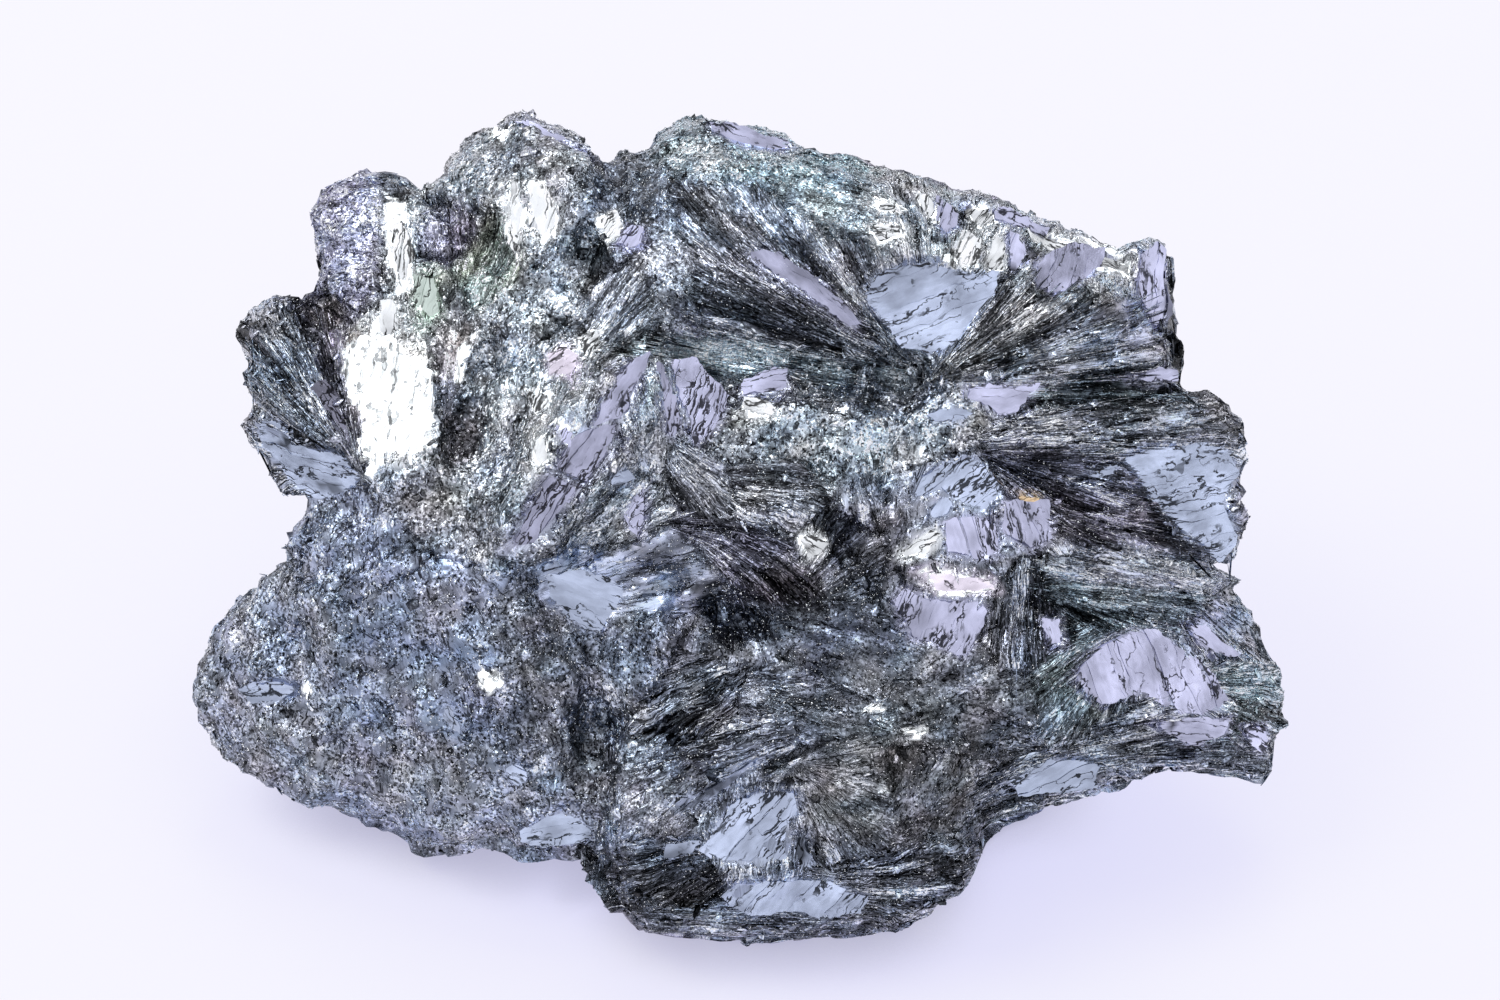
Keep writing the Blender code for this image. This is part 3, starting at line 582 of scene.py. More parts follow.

# %% [markdown]
# ## Mirror plates
# Where a page lies face up it shows as a flat mirror with a torn outline and fine cracks. The
# eye goes to these first, so each large one is drawn as an outline on the face, with its light,
# its tint and the way its cracks run.

# %% Plate outlines
# name: (light, tint, crack direction, outline)
PLATES = {
    "valley": (0.95, BLUE, 24, [(14.1, 26.6), (15.4, 28.0), (18.2, 29.4), (20.9, 29.9), (23.1, 28.8),
        (27.0, 28.0), (28.7, 28.3), (27.6, 25.2), (25.9, 23.0), (24.8, 20.8), (23.1, 19.5), (20.4, 19.2),
        (18.2, 19.7), (16.9, 21.4), (15.4, 23.3), (14.1, 24.7)]),
    "ridge_grey": (0.85, LAVENDER, 74, [(32.5, 29.4), (36.9, 31.8), (40.2, 30.7), (39.1, 28.0),
        (36.9, 26.3), (34.2, 25.5), (32.5, 26.9)]),
    "right_end": (1.0, LAVENDER, 86, [(43.9, 30.2), (45.6, 31.5), (46.5, 30.2), (46.9, 27.0), (47.4, 23.6),
        (45.8, 21.6), (44.5, 24.4), (43.6, 26.4)]),
    "ridge_a": (0.95, LAVENDER, 70, [(21.8, 36.4), (24.2, 35.0), (24.0, 33.0), (22.8, 32.2), (21.6, 33.6)]),
    "ridge_b": (0.95, LAVENDER, 75, [(29.6, 33.2), (31.4, 31.4), (31.5, 29.0), (29.8, 29.0), (29.4, 31.4)]),
    "ridge_rim": (0.9, LAVENDER, -20, [(24.0, 36.0), (29.0, 35.2), (34.0, 33.0), (33.6, 32.2), (28.6, 33.8),
        (24.2, 35.2)]),
    "fan_patch": (0.95, LAVENDER, 8, [(25.0, 16.0), (28.2, 16.0), (33.2, 16.1), (32.0, 14.4), (30.8, 12.7),
        (28.8, 12.5), (26.8, 13.8), (24.8, 14.4)]),
    "fan_strip": (0.85, BLUE, 8, [(20.6, 12.8), (23.4, 13.6), (25.6, 12.8), (24.6, 11.8), (21.4, 11.7)]),
    "fan_sliver": (0.9, LAVENDER, 10, [(43.0, 16.6), (46.0, 17.6), (48.0, 17.6), (48.0, 16.4),
        (45.4, 15.9)]),
    "wing_plate": (0.98, BLUE, 14, [(41.7, 7.8), (45.2, 9.6), (50.7, 9.6), (53.6, 8.7), (54.4, 6.5),
        (53.6, 3.2), (54.3, 1.0), (54.0, -2.0), (52.3, -3.4), (49.6, -1.2), (46.8, 1.0), (45.2, 3.2),
        (44.1, 5.4)]),
    "wing_small": (0.9, BLUE, 16, [(36.8, 5.2), (39.8, 6.6), (41.6, 7.0), (40.8, 6.0), (38.2, 5.0)]),
    "wing_big": (0.94, LAVENDER, -66, [(36.9, -16.6), (37.5, -15.0), (39.7, -12.8), (43.0, -11.1),
        (45.7, -10.9), (47.4, -12.2), (48.5, -13.3), (50.7, -14.4), (52.3, -16.6), (54.0, -18.8),
        (51.8, -20.5), (48.5, -20.5), (46.3, -18.8), (43.0, -18.3), (39.7, -19.1), (38.0, -18.3)]),
    "wing_chip": (0.88, LAVENDER, -40, [(49.0, -10.6), (50.7, -10.0), (53.4, -12.2), (55.1, -13.6),
        (52.9, -13.9), (50.7, -13.3)]),
    "wing_left": (0.98, LAVENDER, -80, [(33.2, -9.8), (35.3, -9.7), (35.8, -13.0), (34.0, -12.9)]),
    "foot_a": (0.88, LAVENDER, -4, [(45.2, -21.6), (48.5, -21.0), (54.0, -20.5), (53.4, -22.7),
        (50.7, -23.8), (47.4, -23.0)]),
    "foot_b": (1.05, LAVENDER, -30, [(55.4, -21.7), (57.6, -21.5), (58.2, -23.2), (57.4, -24.6),
        (56.0, -23.6)]),
    "foot_left": (0.72, BLUE, 24, [(29.8, -27.9), (34.2, -25.7), (37.5, -25.1), (39.7, -26.0),
        (39.1, -28.2), (35.3, -28.9), (30.9, -29.5)]),
    "cluster_a": (0.98, BLUE, 42, [(19.3, 3.7), (19.8, 6.0), (22.6, 7.4), (25.3, 8.2), (27.0, 7.1),
        (28.7, 4.8), (28.7, 3.2), (27.0, 1.5), (25.3, 2.6), (23.7, 3.2), (22.0, 4.3), (20.4, 3.4)]),
    "cluster_c": (0.9, BLUE, 60, [(20.8, 3.0), (23.0, 3.4), (23.8, 2.2), (22.6, 1.1), (20.9, 1.4)]),
    "cluster_d": (1.0, LAVENDER, -70, [(22.6, 0.7), (25.4, 1.6), (28.4, 1.1), (28.7, -2.9), (26.0, -3.2),
        (23.1, -2.5)]),
    "cluster_f": (0.85, LAVENDER, -76, [(29.0, 3.2), (34.2, 3.2), (34.2, -1.2), (32.0, -2.3),
        (29.2, -0.6)]),
    "cluster_h": (0.97, LAVENDER, 66, [(16.9, -7.8), (18.2, -6.4), (20.9, -7.8), (22.6, -7.7), (25.9, -7.9),
        (27.0, -9.1), (25.9, -12.2), (24.8, -13.9), (22.6, -13.1), (20.9, -12.2), (19.0, -12.2),
        (18.2, -10.6)]),
    "slant_top": (0.77, LAVENDER, 58, [(-9.9, 19.6), (-11.2, 16.0), (-13.2, 12.0), (-16.2, 11.6),
        (-14.4, 15.0), (-12.0, 18.8)]),
    "slant_middle": (0.7, LAVENDER, 58, [(-13.4, 11.4), (-15.0, 8.2), (-17.0, 4.8), (-20.9, 6.6),
        (-19.0, 9.8), (-16.4, 11.4)]),
    "slant_low": (0.66, LAVENDER, 58, [(-17.3, 4.5), (-20.2, 1.2), (-22.9, -1.7), (-25.5, -1.9),
        (-23.4, 2.4), (-21.1, 6.2)]),
    "petal_left": (0.75, LAVENDER, 80, [(-9.2, 18.2), (-8.3, 18.0), (-7.4, 14.6), (-6.2, 11.4),
        (-7.4, 10.2), (-8.6, 13.4)]),
    "petal_right": (0.92, LAVENDER, 74, [(-7.6, 18.4), (-4.7, 18.8), (-2.9, 16.5), (-1.5, 14.8),
        (-2.0, 12.2), (-3.6, 10.0), (-4.6, 9.2), (-5.6, 12.0), (-7.0, 15.0)]),
    "under_lip": (0.92, LAVENDER, 10, [(0.0, 16.1), (2.4, 17.4), (5.2, 17.8), (5.4, 15.6), (2.8, 15.0),
        (0.2, 14.8)]),
    "grey_plate": (0.74, BLUE, -20, [(-21.5, -5.1), (-18.2, -4.5), (-14.6, -5.2), (-12.6, -6.6),
        (-13.4, -8.6), (-15.4, -11.1), (-17.6, -10.6), (-19.8, -9.1), (-21.2, -7.8)]),
    "chip_a": (0.85, LAVENDER, 60, [(-12.4, 2.6), (-10.5, 4.7), (-10.2, 1.6), (-11.0, -1.0), (-12.2, 0.4)]),
    "chip_b": (0.85, BLUE, 20, [(-14.6, 5.5), (-12.5, 6.6), (-11.6, 5.3), (-13.4, 4.7)]),
    "left_plate": (0.9, BLUE, -16, [(-52.7, 12.0), (-50.1, 11.9), (-49.0, 9.4), (-43.5, 8.7), (-41.3, 5.6),
        (-43.0, 4.3), (-45.2, 3.5), (-47.6, 3.2), (-49.2, 4.8), (-51.9, 8.4), (-53.2, 10.6)]),
    "left_inner": (0.5, VIOLET, 122, [(-47.4, 15.8), (-45.6, 16.2), (-43.2, 12.0), (-41.8, 8.6),
        (-43.4, 9.6), (-46.0, 13.2)]),
    "grain_plate_a": (0.85, BLUE, 0, [(-55.1, -17.7), (-53.4, -16.9), (-51.2, -16.5), (-48.7, -17.2),
        (-49.0, -18.3), (-50.7, -19.1), (-53.4, -19.1)]),
    "grain_plate_b": (0.85, BLUE, -30, [(-26.0, -26.5), (-24.4, -26.1), (-23.4, -27.6), (-24.6, -28.3),
        (-25.8, -27.4)]),
    "grain_plate_c": (0.9, BLUE, 10, [(-24.2, -33.2), (-22.0, -31.8), (-19.8, -31.2), (-17.6, -32.1),
        (-16.5, -33.4), (-17.1, -34.4), (-19.8, -34.8), (-22.6, -34.9), (-24.0, -34.4)]),
    "grain_plate_d": (0.72, BLUE, -60, [(-32.9, -18.7), (-31.5, -19.6), (-30.5, -22.4), (-31.6, -21.9),
        (-32.7, -20.4)]),
    "lobe_plate": (0.98, BLUE, 48, [(-0.6, -29.9), (2.2, -28.8), (6.1, -28.8), (6.6, -31.0), (5.5, -33.2),
        (5.5, -36.5), (3.9, -36.5), (0.6, -37.0), (-2.2, -36.5), (-4.4, -35.4), (-2.8, -33.2),
        (-1.7, -31.5)]),
    "lobe_plate_b": (0.8, BLUE, 20, [(-8.0, -34.8), (-4.8, -34.4), (-3.6, -33.4), (-5.0, -35.6),
        (-8.2, -36.5)]),
    "lobe_plate_c": (0.85, BLUE, 80, [(6.2, -33.6), (7.2, -33.0), (7.8, -36.4), (6.6, -37.8)]),
    "lobe_strip": (0.9, BLUE, 34, [(-8.2, -30.4), (-4.0, -29.3), (-0.8, -26.8), (0.4, -25.4), (3.0, -24.9),
        (1.4, -26.6), (-1.6, -28.6), (-6.0, -31.0)]),
    "lobe_foot": (0.98, BLUE, 50, [(-1.7, -40.3), (-0.6, -38.7), (3.3, -38.7), (6.6, -38.5), (9.9, -38.7),
        (12.1, -39.8), (14.3, -40.3), (13.2, -42.2), (9.9, -42.9), (6.6, -42.2), (2.2, -42.5),
        (-0.6, -42.0)]),
    "crest_plate": (0.92, LAVENDER, -20, [(-3.9, 44.9), (-0.6, 44.2), (2.2, 43.3), (5.5, 42.5), (6.3, 41.9),
        (3.9, 41.6), (1.1, 42.1), (-1.1, 42.7), (-2.8, 43.8)]),
    "peak_plate": (0.86, LAVENDER, -36, [(-24.7, 44.7), (-23.1, 44.2), (-20.9, 42.9), (-18.2, 41.5),
        (-16.4, 40.7), (-16.9, 41.5), (-19.8, 43.2), (-22.6, 44.6)]),
    "saddle_plate": (0.92, LAVENDER, 60, [(-14.1, 31.4), (-12.6, 33.5), (-10.8, 33.0), (-10.2, 31.4),
        (-12.4, 30.9)]),
    "green_b": (0.8, GREEN, 72, [(-35.9, 28.2), (-33.6, 27.6), (-32.9, 23.8), (-34.4, 23.0),
        (-35.8, 25.4)]),
    "gold_chip": (0.9, AMBER, 10, [(30.8, 3.6), (32.4, 3.7), (33.7, 2.7), (32.6, 2.0), (31.2, 2.6)]),
    "pink_plate": (1.35, ROSE, 30, [(-21.4, 19.6), (-19.0, 20.2), (-17.6, 18.6), (-18.6, 16.8),
        (-20.8, 17.2)]),
    "silk": (0.76, LAVENDER, -42, [(1.2, 30.8), (4.0, 30.6), (7.2, 28.6), (10.4, 26.0), (13.4, 22.4),
        (12.2, 22.2), (8.4, 25.0), (5.0, 27.6), (2.2, 29.2)]),
    # The plates below with the near-white tint are painted highlights: their tone is painted white where the
    # metal flashes.
    "cluster_highlight": (1.0, PAINTED_HIGHLIGHT, 24, [(17.7, -2.6), (19.4, -1.0), (21.4, -0.2), (22.4, -0.8),
        (20.8, -2.6), (18.4, -3.2)]),
    "cluster_pale": (1.0, ROSE, 4, [(19.4, -4.6), (21.4, -4.2), (24.0, -5.0), (27.6, -5.3), (28.4, -6.7),
        (24.0, -7.2), (21.8, -7.1)]),
    "under_lip_highlight": (1.0, PAINTED_HIGHLIGHT, -10, [(0.4, 14.6), (3.2, 13.8), (3.8, 12.7), (1.8, 12.5),
        (0.3, 13.4)]),
    "speck_c": (1.0, PAINTED_HIGHLIGHT, -20, [(6.6, -0.7), (8.0, -0.3), (9.8, -1.4), (8.8, -2.6), (7.6, -3.3),
        (7.0, -1.9)]),
    "peak_highlight_a": (1.0, PAINTED_HIGHLIGHT, 80, [(-23.2, 37.8), (-21.4, 38.2), (-20.0, 36.2), (-20.2, 33.4),
        (-22.0, 31.8), (-22.9, 34.4)]),
    "peak_highlight_b": (1.0, PAINTED_HIGHLIGHT, 86, [(-25.6, 38.0), (-24.2, 38.0), (-24.0, 34.0), (-24.9, 30.2),
        (-25.7, 32.0)]),
    "ridge_highlight_a": (1.0, PAINTED_HIGHLIGHT, 70, [(19.5, 36.8), (21.2, 36.5), (21.5, 34.6), (20.8, 33.3),
        (19.9, 35.0)]),
    "ridge_highlight_b": (1.0, PAINTED_HIGHLIGHT, 60, [(25.2, 35.4), (27.6, 35.2), (27.9, 33.6), (26.6, 32.7),
        (25.4, 33.8)]),
    "ridge_highlight_c": (1.0, PAINTED_HIGHLIGHT, 60, [(23.0, 30.4), (24.6, 32.4), (26.0, 31.6), (26.2, 29.3),
        (24.4, 28.7)]),
    "ridge_highlight_d": (1.0, PAINTED_HIGHLIGHT, 62, [(26.6, 29.4), (28.4, 32.6), (29.3, 31.0), (29.2, 28.4),
        (27.5, 28.1)]),
    "ridge_highlight_e": (1.0, PAINTED_HIGHLIGHT, 8, [(13.8, 35.4), (16.2, 36.0), (18.0, 35.0), (16.0, 34.6)]),
    "ridge_highlight_f": (1.0, PAINTED_HIGHLIGHT, 10, [(14.2, 33.0), (17.4, 33.7), (18.3, 32.4), (15.2, 31.2)]),
    "ridge_highlight_g": (1.0, PAINTED_HIGHLIGHT, -18, [(31.5, 32.8), (35.0, 32.2), (39.0, 31.2), (43.4, 29.8),
        (43.2, 27.8), (40.0, 28.6), (37.0, 30.2), (33.5, 30.8)]),
    "saddle_highlight": (1.0, PAINTED_HIGHLIGHT, 50, [(-15.6, 34.4), (-13.6, 34.8), (-12.8, 32.6), (-14.6, 31.4)]),
    "left_highlight_a": (1.0, PAINTED_HIGHLIGHT, 84, [(-38.6, 33.6), (-37.0, 34.0), (-36.2, 30.4), (-36.6, 27.0),
        (-38.0, 27.4)]),
    "left_highlight_b": (1.0, PAINTED_HIGHLIGHT, 84, [(-39.4, 25.2), (-38.0, 25.2), (-37.6, 21.6), (-39.6, 20.8)]),
    "slant_highlight_b": (1.0, PAINTED_HIGHLIGHT, 70, [(-23.2, 15.0), (-21.0, 15.2), (-20.6, 13.4), (-22.6, 12.8)]),
    "slant_highlight_c": (1.0, PAINTED_HIGHLIGHT, 80, [(-23.0, 9.6), (-21.4, 10.4), (-20.8, 7.6), (-22.2, 6.6)]),
    "slant_white_d": (1.0, LAVENDER, 60, [(-20.2, 11.2), (-18.8, 11.6), (-18.4, 9.4), (-19.8, 9.0)]),
    "pink_highlight": (1.0, PAINTED_HIGHLIGHT, 40, [(-17.8, 21.2), (-15.8, 21.8), (-15.2, 19.8), (-17.0, 19.0)]),
}
print(len(PLATES), "mirror plates")

# %% [markdown]
# ## Glints
# Where many small flakes lie turned halfway between the eye and a lamp, the stone flashes
# white. Inside these outlines the skin's tone is painted near white, a painted highlight, and
# these outlines also say where the metal is to be turned to the lamp, since a brighter tone
# alone wouldn't flash. The skin round the brightest plates flashes as well.

# %% Glint outlines
GLINTS = {
    "slope": [(-39.9, 24.9), (-37.8, 24.9), (-37.6, 21.2), (-36.6, 18.9), (-34.6, 19.2), (-33.1, 17.9),
        (-33.5, 14.7), (-34.1, 11.2), (-35.3, 8.3), (-37.3, 7.7), (-38.8, 8.6), (-40.2, 5.4), (-41.1, 8.9),
        (-42.2, 13.5), (-43.4, 17.6), (-42.5, 20.5), (-40.2, 20.9)],
    "column": [(-39.2, 37.0), (-37.0, 36.6), (-36.0, 31.0), (-36.4, 26.6), (-38.6, 26.4), (-38.9, 31.0)],
    "grain_highlight": [(-29.4, -15.5), (-27.6, -15.7), (-26.4, -17.9), (-28.2, -18.1), (-29.3, -16.8)],
    "grain_highlight_b": [(-48.4, -17.6), (-46.9, -16.8), (-46.9, -17.9), (-48.0, -18.2)],
    "speck_a": [(13.4, -20.2), (15.2, -18.7), (16.2, -19.8), (14.4, -20.4)],
    "speck_b": [(18.6, -22.2), (20.5, -21.6), (20.8, -22.7), (19.6, -23.3)],
    "slant_highlight": [(-20.8, 12.0), (-19.3, 11.3), (-18.8, 9.7), (-20.0, 9.1)],
    "seam_highlight": [(-31.6, 20.2), (-30.4, 20.6), (-29.6, 17.0), (-30.8, 15.8)],
    "peak_rim": [(-27.4, 43.4), (-25.4, 44.2), (-24.6, 43.2), (-26.4, 42.4)],
}
FLASHING = [name for name, row in PLATES.items() if row[1] is PAINTED_HIGHLIGHT] + ["cluster_pale"]
GLINTS.update({name: PLATES[name][3] for name in FLASHING})
print(len(GLINTS), "glints")


# %% Inside an outline
def sides_of(outline):
    return zip(outline, outline[1:] + outline[:1])


def is_inside(x, y, outline):
    """A point is inside when a line from it to the right crosses an odd number of sides."""
    inside = np.zeros(len(x), bool)
    for (x0, y0), (x1, y1) in sides_of(outline):
        spans = (y0 > y) != (y1 > y)
        cut = x0 + (y - y0) * (x1 - x0) / (y1 - y0 if y1 != y0 else 1e-9)
        inside ^= spans & (x < cut)
    return inside


def depth_inside(x, y, outline):
    """Distance in from the outline in mm, negative outside it."""
    nearest = np.full(len(x), 1e9)
    for (x0, y0), (x1, y1) in sides_of(outline):
        side_x, side_y = x1 - x0, y1 - y0
        t = np.clip(((x - x0) * side_x + (y - y0) * side_y) / (side_x**2 + side_y**2), 0.0, 1.0)
        nearest = np.minimum(nearest, np.hypot(x - x0 - t * side_x, y - y0 - t * side_y))
    return np.where(is_inside(x, y, outline), nearest, -nearest)


valley = PLATES["valley"][3]
print("the middle of the valley plate is", depth_inside(*np.mean(valley, axis=0)[:, None], valley).round(1),
      "mm from its rim")

# %% [markdown]
# ## Dark places
# Deep gaps between lumps and pages trap the light. The relief alone can't be deep enough for
# that on so small a stone, so each gap also gets painted shade: a long diamond with ragged
# borders, since broken crystals leave angular gaps. A spot below zero paints light instead.

# %% Painted shade and light
# x, y, half length, half width, turn, strength of the painted shade (below zero, of painted light)
PAINTED_LIGHT_AND_SHADE = [
    (-7.4, -21.4, 5.0, 1.0, 27, 0.92), (4.0, 22.6, 7.5, 2.2, -18, 0.6), (-28.2, 33.6, 1.2, 2.2, 0, 0.6),
    (-32.8, 30.3, 2.8, 1.1, 0, 0.75), (-15.8, 29.4, 1.9, 2.4, -20, 0.78), (11.8, -1.0, 2.4, 2.4, 0, 0.8),
    (-7.0, -38.4, 6.0, 3.0, -10, 0.5), (-46.5, 19.5, 8.0, 0.7, 119, 0.85),
    (-47.5, 10.2, 3.4, 0.5, -28, 0.9), (-50.0, 9.6, 1.0, 0.5, 40, 0.9), (44.5, -21.6, 1.2, 0.8, 30, 0.9),
    (47.4, -20.6, 0.8, 1.3, 10, 0.9), (36.4, -11.6, 0.6, 1.8, 0, 0.85), (6.6, -35.5, 0.8, 2.4, -10, 0.8),
    (8.4, -35.6, 0.7, 2.4, 5, 0.85), (-9.2, 21.2, 0.7, 1.6, 0, 0.9), (29.6, -26.4, 1.2, 0.6, 20, 0.85),
    (22.8, -37.0, 1.2, 2.2, 20, 0.7), (-37.6, -1.6, 2.6, 2.0, 20, 0.55), (5.0, -27.8, 3.0, 0.5, 5, 0.85),
    (-2.6, -28.6, 4.0, 0.5, 30, 0.8), (30.0, 28.6, 0.5, 1.8, 0, 0.9), (24.8, 35.0, 0.4, 1.6, -20, 0.8),
    (21.2, 32.4, 1.6, 0.5, -20, 0.85), (32.0, 30.6, 0.4, 1.6, 20, 0.85), (-6.4, -23.6, 4.0, 0.6, 24, 0.5),
    (-18.4, -24.0, 2.4, 6.0, 0, 0.45), (-15.8, -36.0, 1.0, 3.0, 20, 0.5), (40.0, -9.4, 6.0, 0.5, -6, 0.7),
    (34.0, -8.0, 2.4, 1.6, 0, 0.4), (8.0, 27.5, 5.0, 1.0, -38, 0.35), (-5.0, 35.6, 3.0, 0.9, -58, 0.5),
    (-31.0, 25.4, 0.9, 4.4, 6, 0.6), (-24.2, 13.2, 0.8, 2.2, -10, 0.7), (-22.4, 38.9, 1.6, 0.7, 10, 0.7),
    (-18.6, 22.6, 3.6, 0.7, -28, 0.85), (-21.4, 21.6, 1.6, 0.6, 40, 0.8), (-30.5, 10.6, 2.4, 3.4, -30, 0.4),
    (-45.0, 24.0, 3.4, 2.6, 20, 0.4), (-37.5, 37.5, 0.8, 1.0, 0, 0.8), (0.8, -3.2, 3.0, 1.4, -30, 0.6),
    (6.4, -7.4, 4.4, 1.6, -40, 0.6), (3.4, -9.6, 4.4, 2.2, 10, 0.55), (-44.5, 4.4, 2.4, 0.6, -20, 0.7),
    (47.6, 23.0, 0.8, 6.0, 4, 0.7), (27.4, 36.6, 1.2, 0.4, -20, 0.6), (-33.0, -1.4, 5.0, 1.5, 5, 0.5),
    (40.5, 27.8, 2.4, 2.0, -20, -0.7), (-56.0, -12.0, 3.0, 8.0, 10, -0.5),
    (56.5, -10.0, 2.0, 5.0, 20, -0.5), (34.6, -11.0, 1.2, 1.4, 0, -0.3), (-16.0, 1.5, 2.0, 2.6, 0, -0.6),
    (-15.0, -19.0, 2.4, 3.2, 0, -0.6), (11.0, -28.0, 3.4, 2.0, 0, -0.6), (-50.0, 15.0, 4.0, 3.0, 120, -0.4),
    (-1.0, 41.0, 8.0, 2.6, -4, -0.4), (3.2, 19.8, 11.0, 0.45, -11, -1.3), (5.0, 18.9, 9.0, 0.4, -10, 0.6),
    (15.8, 22.0, 1.4, 1.4, 0, -0.5), (-3.0, -26.0, 9.0, 2.0, 30, 0.25), (22.0, -11.0, 6.0, 2.6, 0, 0.2),
]
# A spot of painted shade with this length and width together, in mm, is shaken fully, a smaller one less.
FULL_PULL = 8.0
# How far the diamond reaches, where its full dark ends and over what it fades, in shares of its size
DIAMOND, HEART, BORDER = 1.25, 0.75, 0.4


def painted_shading_at(x, y, shake):
    """How much light the painted shade keeps at each point; painted light lifts it above one. The shake makes
    the borders ragged.
    """
    kept = np.ones(len(x))
    for cx, cy, length, width, turn, dark in PAINTED_LIGHT_AND_SHADE:
        pull = min(1.0, (length + width) / FULL_PULL)
        near, far = turned(x + pull * shake[:, 0] - cx, y + pull * shake[:, 1] - cy, turn)
        reach = (np.abs(near) / length + np.abs(far) / width) / DIAMOND
        kept *= 1.0 - dark * fade((reach - HEART) / BORDER)
    return kept


def shaken(size):
    """Two noises that push a point of the skin sideways."""
    return np.array([noise.noise_vector(Vector(p) / size)[:2] for p in points / MM])


shake = 1.5 * shaken(2.2) + 0.5 * shaken(0.8)
# Painted shade in the gaps and hollows of the face, and painted light where a spot is below zero.
painted_shading = np.where(is_front, painted_shading_at(seen[:, 0], seen[:, 1], shake), 1.0)
# Seams get painted shade in places, as a crease would, less where the stone is grainy.
seam *= np.clip(0.5 + 1.6 * cloud(5.0, 2, 500.0), 0.0, 1.0) * (1.0 - 0.6 * grain)
painted_shading *= 1.0 - 0.7 * seam
print("stained points:", int((painted_shading < 0.6).sum()))

# %% [markdown]
# ## Where the plates lie
# A plate is a flat page, so it mustn't follow every bump below it. The best plane through the
# skin under its outline says where it lies. The outlines are drawn as the camera sees them,
# and a place that stands out of the face looks farther from the middle than it is, so they are
# first laid out on the skin.

# %% Plane of each plate
RAY_HEIGHT = 60.0
GRID = 11
SMALL_PLATE = 4.5
SMALL_SLOPE, STEEPEST = 0.08, 0.6
SWELL, SWELL_SIZE = 0.28, 4.5


def height_on_skin(x, y):
    start = Vector(from_face([x, y, RAY_HEIGHT]))
    hit = body_tree.ray_cast(start, Vector(-OUTWARD))[0]
    return None if hit is None else float(to_face(np.array(hit)[None])[0, 2])


def laid_out(outline):
    """The outline as it lies on the skin, from how it is seen by the camera."""
    laid = []
    for spot in np.array(outline):
        place = spot
        for _ in range(2):
            height = height_on_skin(*place) or 0.0
            place = AIM + (spot - AIM) * (DISTANCE - height) / DISTANCE
        laid.append((float(place[0]), float(place[1])))
    return laid


def plane_of(outline):
    """The middle of the outline, and the plane's level and slopes there."""
    x, y = np.array(outline).T
    grid_x, grid_y = np.meshgrid(np.linspace(x.min(), x.max(), GRID), np.linspace(y.min(), y.max(), GRID))
    inside = is_inside(grid_x.ravel(), grid_y.ravel(), outline)
    spots = list(zip(grid_x.ravel()[inside], grid_y.ravel()[inside])) + list(outline)
    rows = np.array([(a, b, h) for a, b in spots if (h := height_on_skin(a, b)) is not None])
    middle = rows[:, :2].mean(axis=0)
    sides = np.column_stack([np.ones(len(rows)), rows[:, :2] - middle])
    level, *slopes = np.linalg.lstsq(sides, rows[:, 2], rcond=None)[0]
    steepest = SMALL_SLOPE if min(np.ptp(outline, axis=0)) < SMALL_PLATE else STEEPEST
    return middle, level, *(float(np.clip(slope, -steepest, steepest)) for slope in slopes)


def plate_height(name, x, y):
    """Height of a plate above the face plane, with the faint swell of a bent page."""
    middle, level, slope_x, slope_y = planes[name]
    swell = np.array([noise.noise(Vector((a, b, level)) / SWELL_SIZE) for a, b in zip(x, y)])
    return level + slope_x * (x - middle[0]) + slope_y * (y - middle[1]) + SWELL * swell


for name, (light, tint, way, outline) in PLATES.items():
    PLATES[name] = (light, tint, way, laid_out(outline))
planes = {name: plane_of(row[3]) for name, row in PLATES.items()}
print("planes found for", len(planes), "plates")

# %% [markdown]
# ## Relief of the body
# The pages show on the body as long steps, each rising slowly and ending in a small cliff, with
# finer ridges on them. The grainy sheaves get small lumps and pits instead, and both are broken
# into flat blocks with levels and tilts of their own, as the stone breaks along its crystals.
# Moving the points of the skin, instead of only painting the relief, lets the light catch it
# from every side.

# %% Noise that runs with the pages
# Each sheaf reads the noise in a place of its own.
page_seed = which * 7.3


def page_noise(length, width, shift, fall, step, octaves):
    """Noise stretched along the pages: its marks are about that long and that wide, in mm."""
    at = np.stack([along / length, across / width, page_seed + shift], axis=1)
    return np.array([noise.fractal(Vector(p), fall, step, octaves) for p in at])


def block_lift(at, size, rise, slopes):
    """Relief of broken blocks: each cell of the pattern is a flat facet with its own level and tilt."""
    lifts = np.empty(len(at))
    for k, spot in enumerate(at / size):
        heart = noise.voronoi(Vector(spot))[1][0]
        own = noise.noise_vector(heart * 9.7)
        away = (Vector(spot) - heart) * Vector(size)
        lifts[k] = rise * own.x + away.x * slopes[0] * own.y + away.y * slopes[1] * own.z
    return lifts


steps_at = across / 2.3 + 0.9 * page_noise(9.0, 4.5, 0.0, 0.8, 2.0, 2)
steps = (steps_at % 1.0) - 0.5
ridges = page_noise(6.0, 0.95, 0.0, 0.6, 2.2, 3)
lumps = cloud(1.5, 3)
broad = cloud(7.0, 2, 40.0)
pits = fade((cloud(1.9, 2, 70.0) + 0.78) / 0.3)
on_pages = np.stack([along, across, page_seed], axis=1)
page_blocks = block_lift(on_pages, np.array([11.0, 4.4, 1.0]), 0.5, (0.12, 0.34))
grain_blocks = block_lift(points / MM, np.array([5.5, 5.5, 5.5]), 0.4, (0.26, 0.26))
print("the steps rise by", round(float(np.ptp(steps)), 2), "before they are scaled")

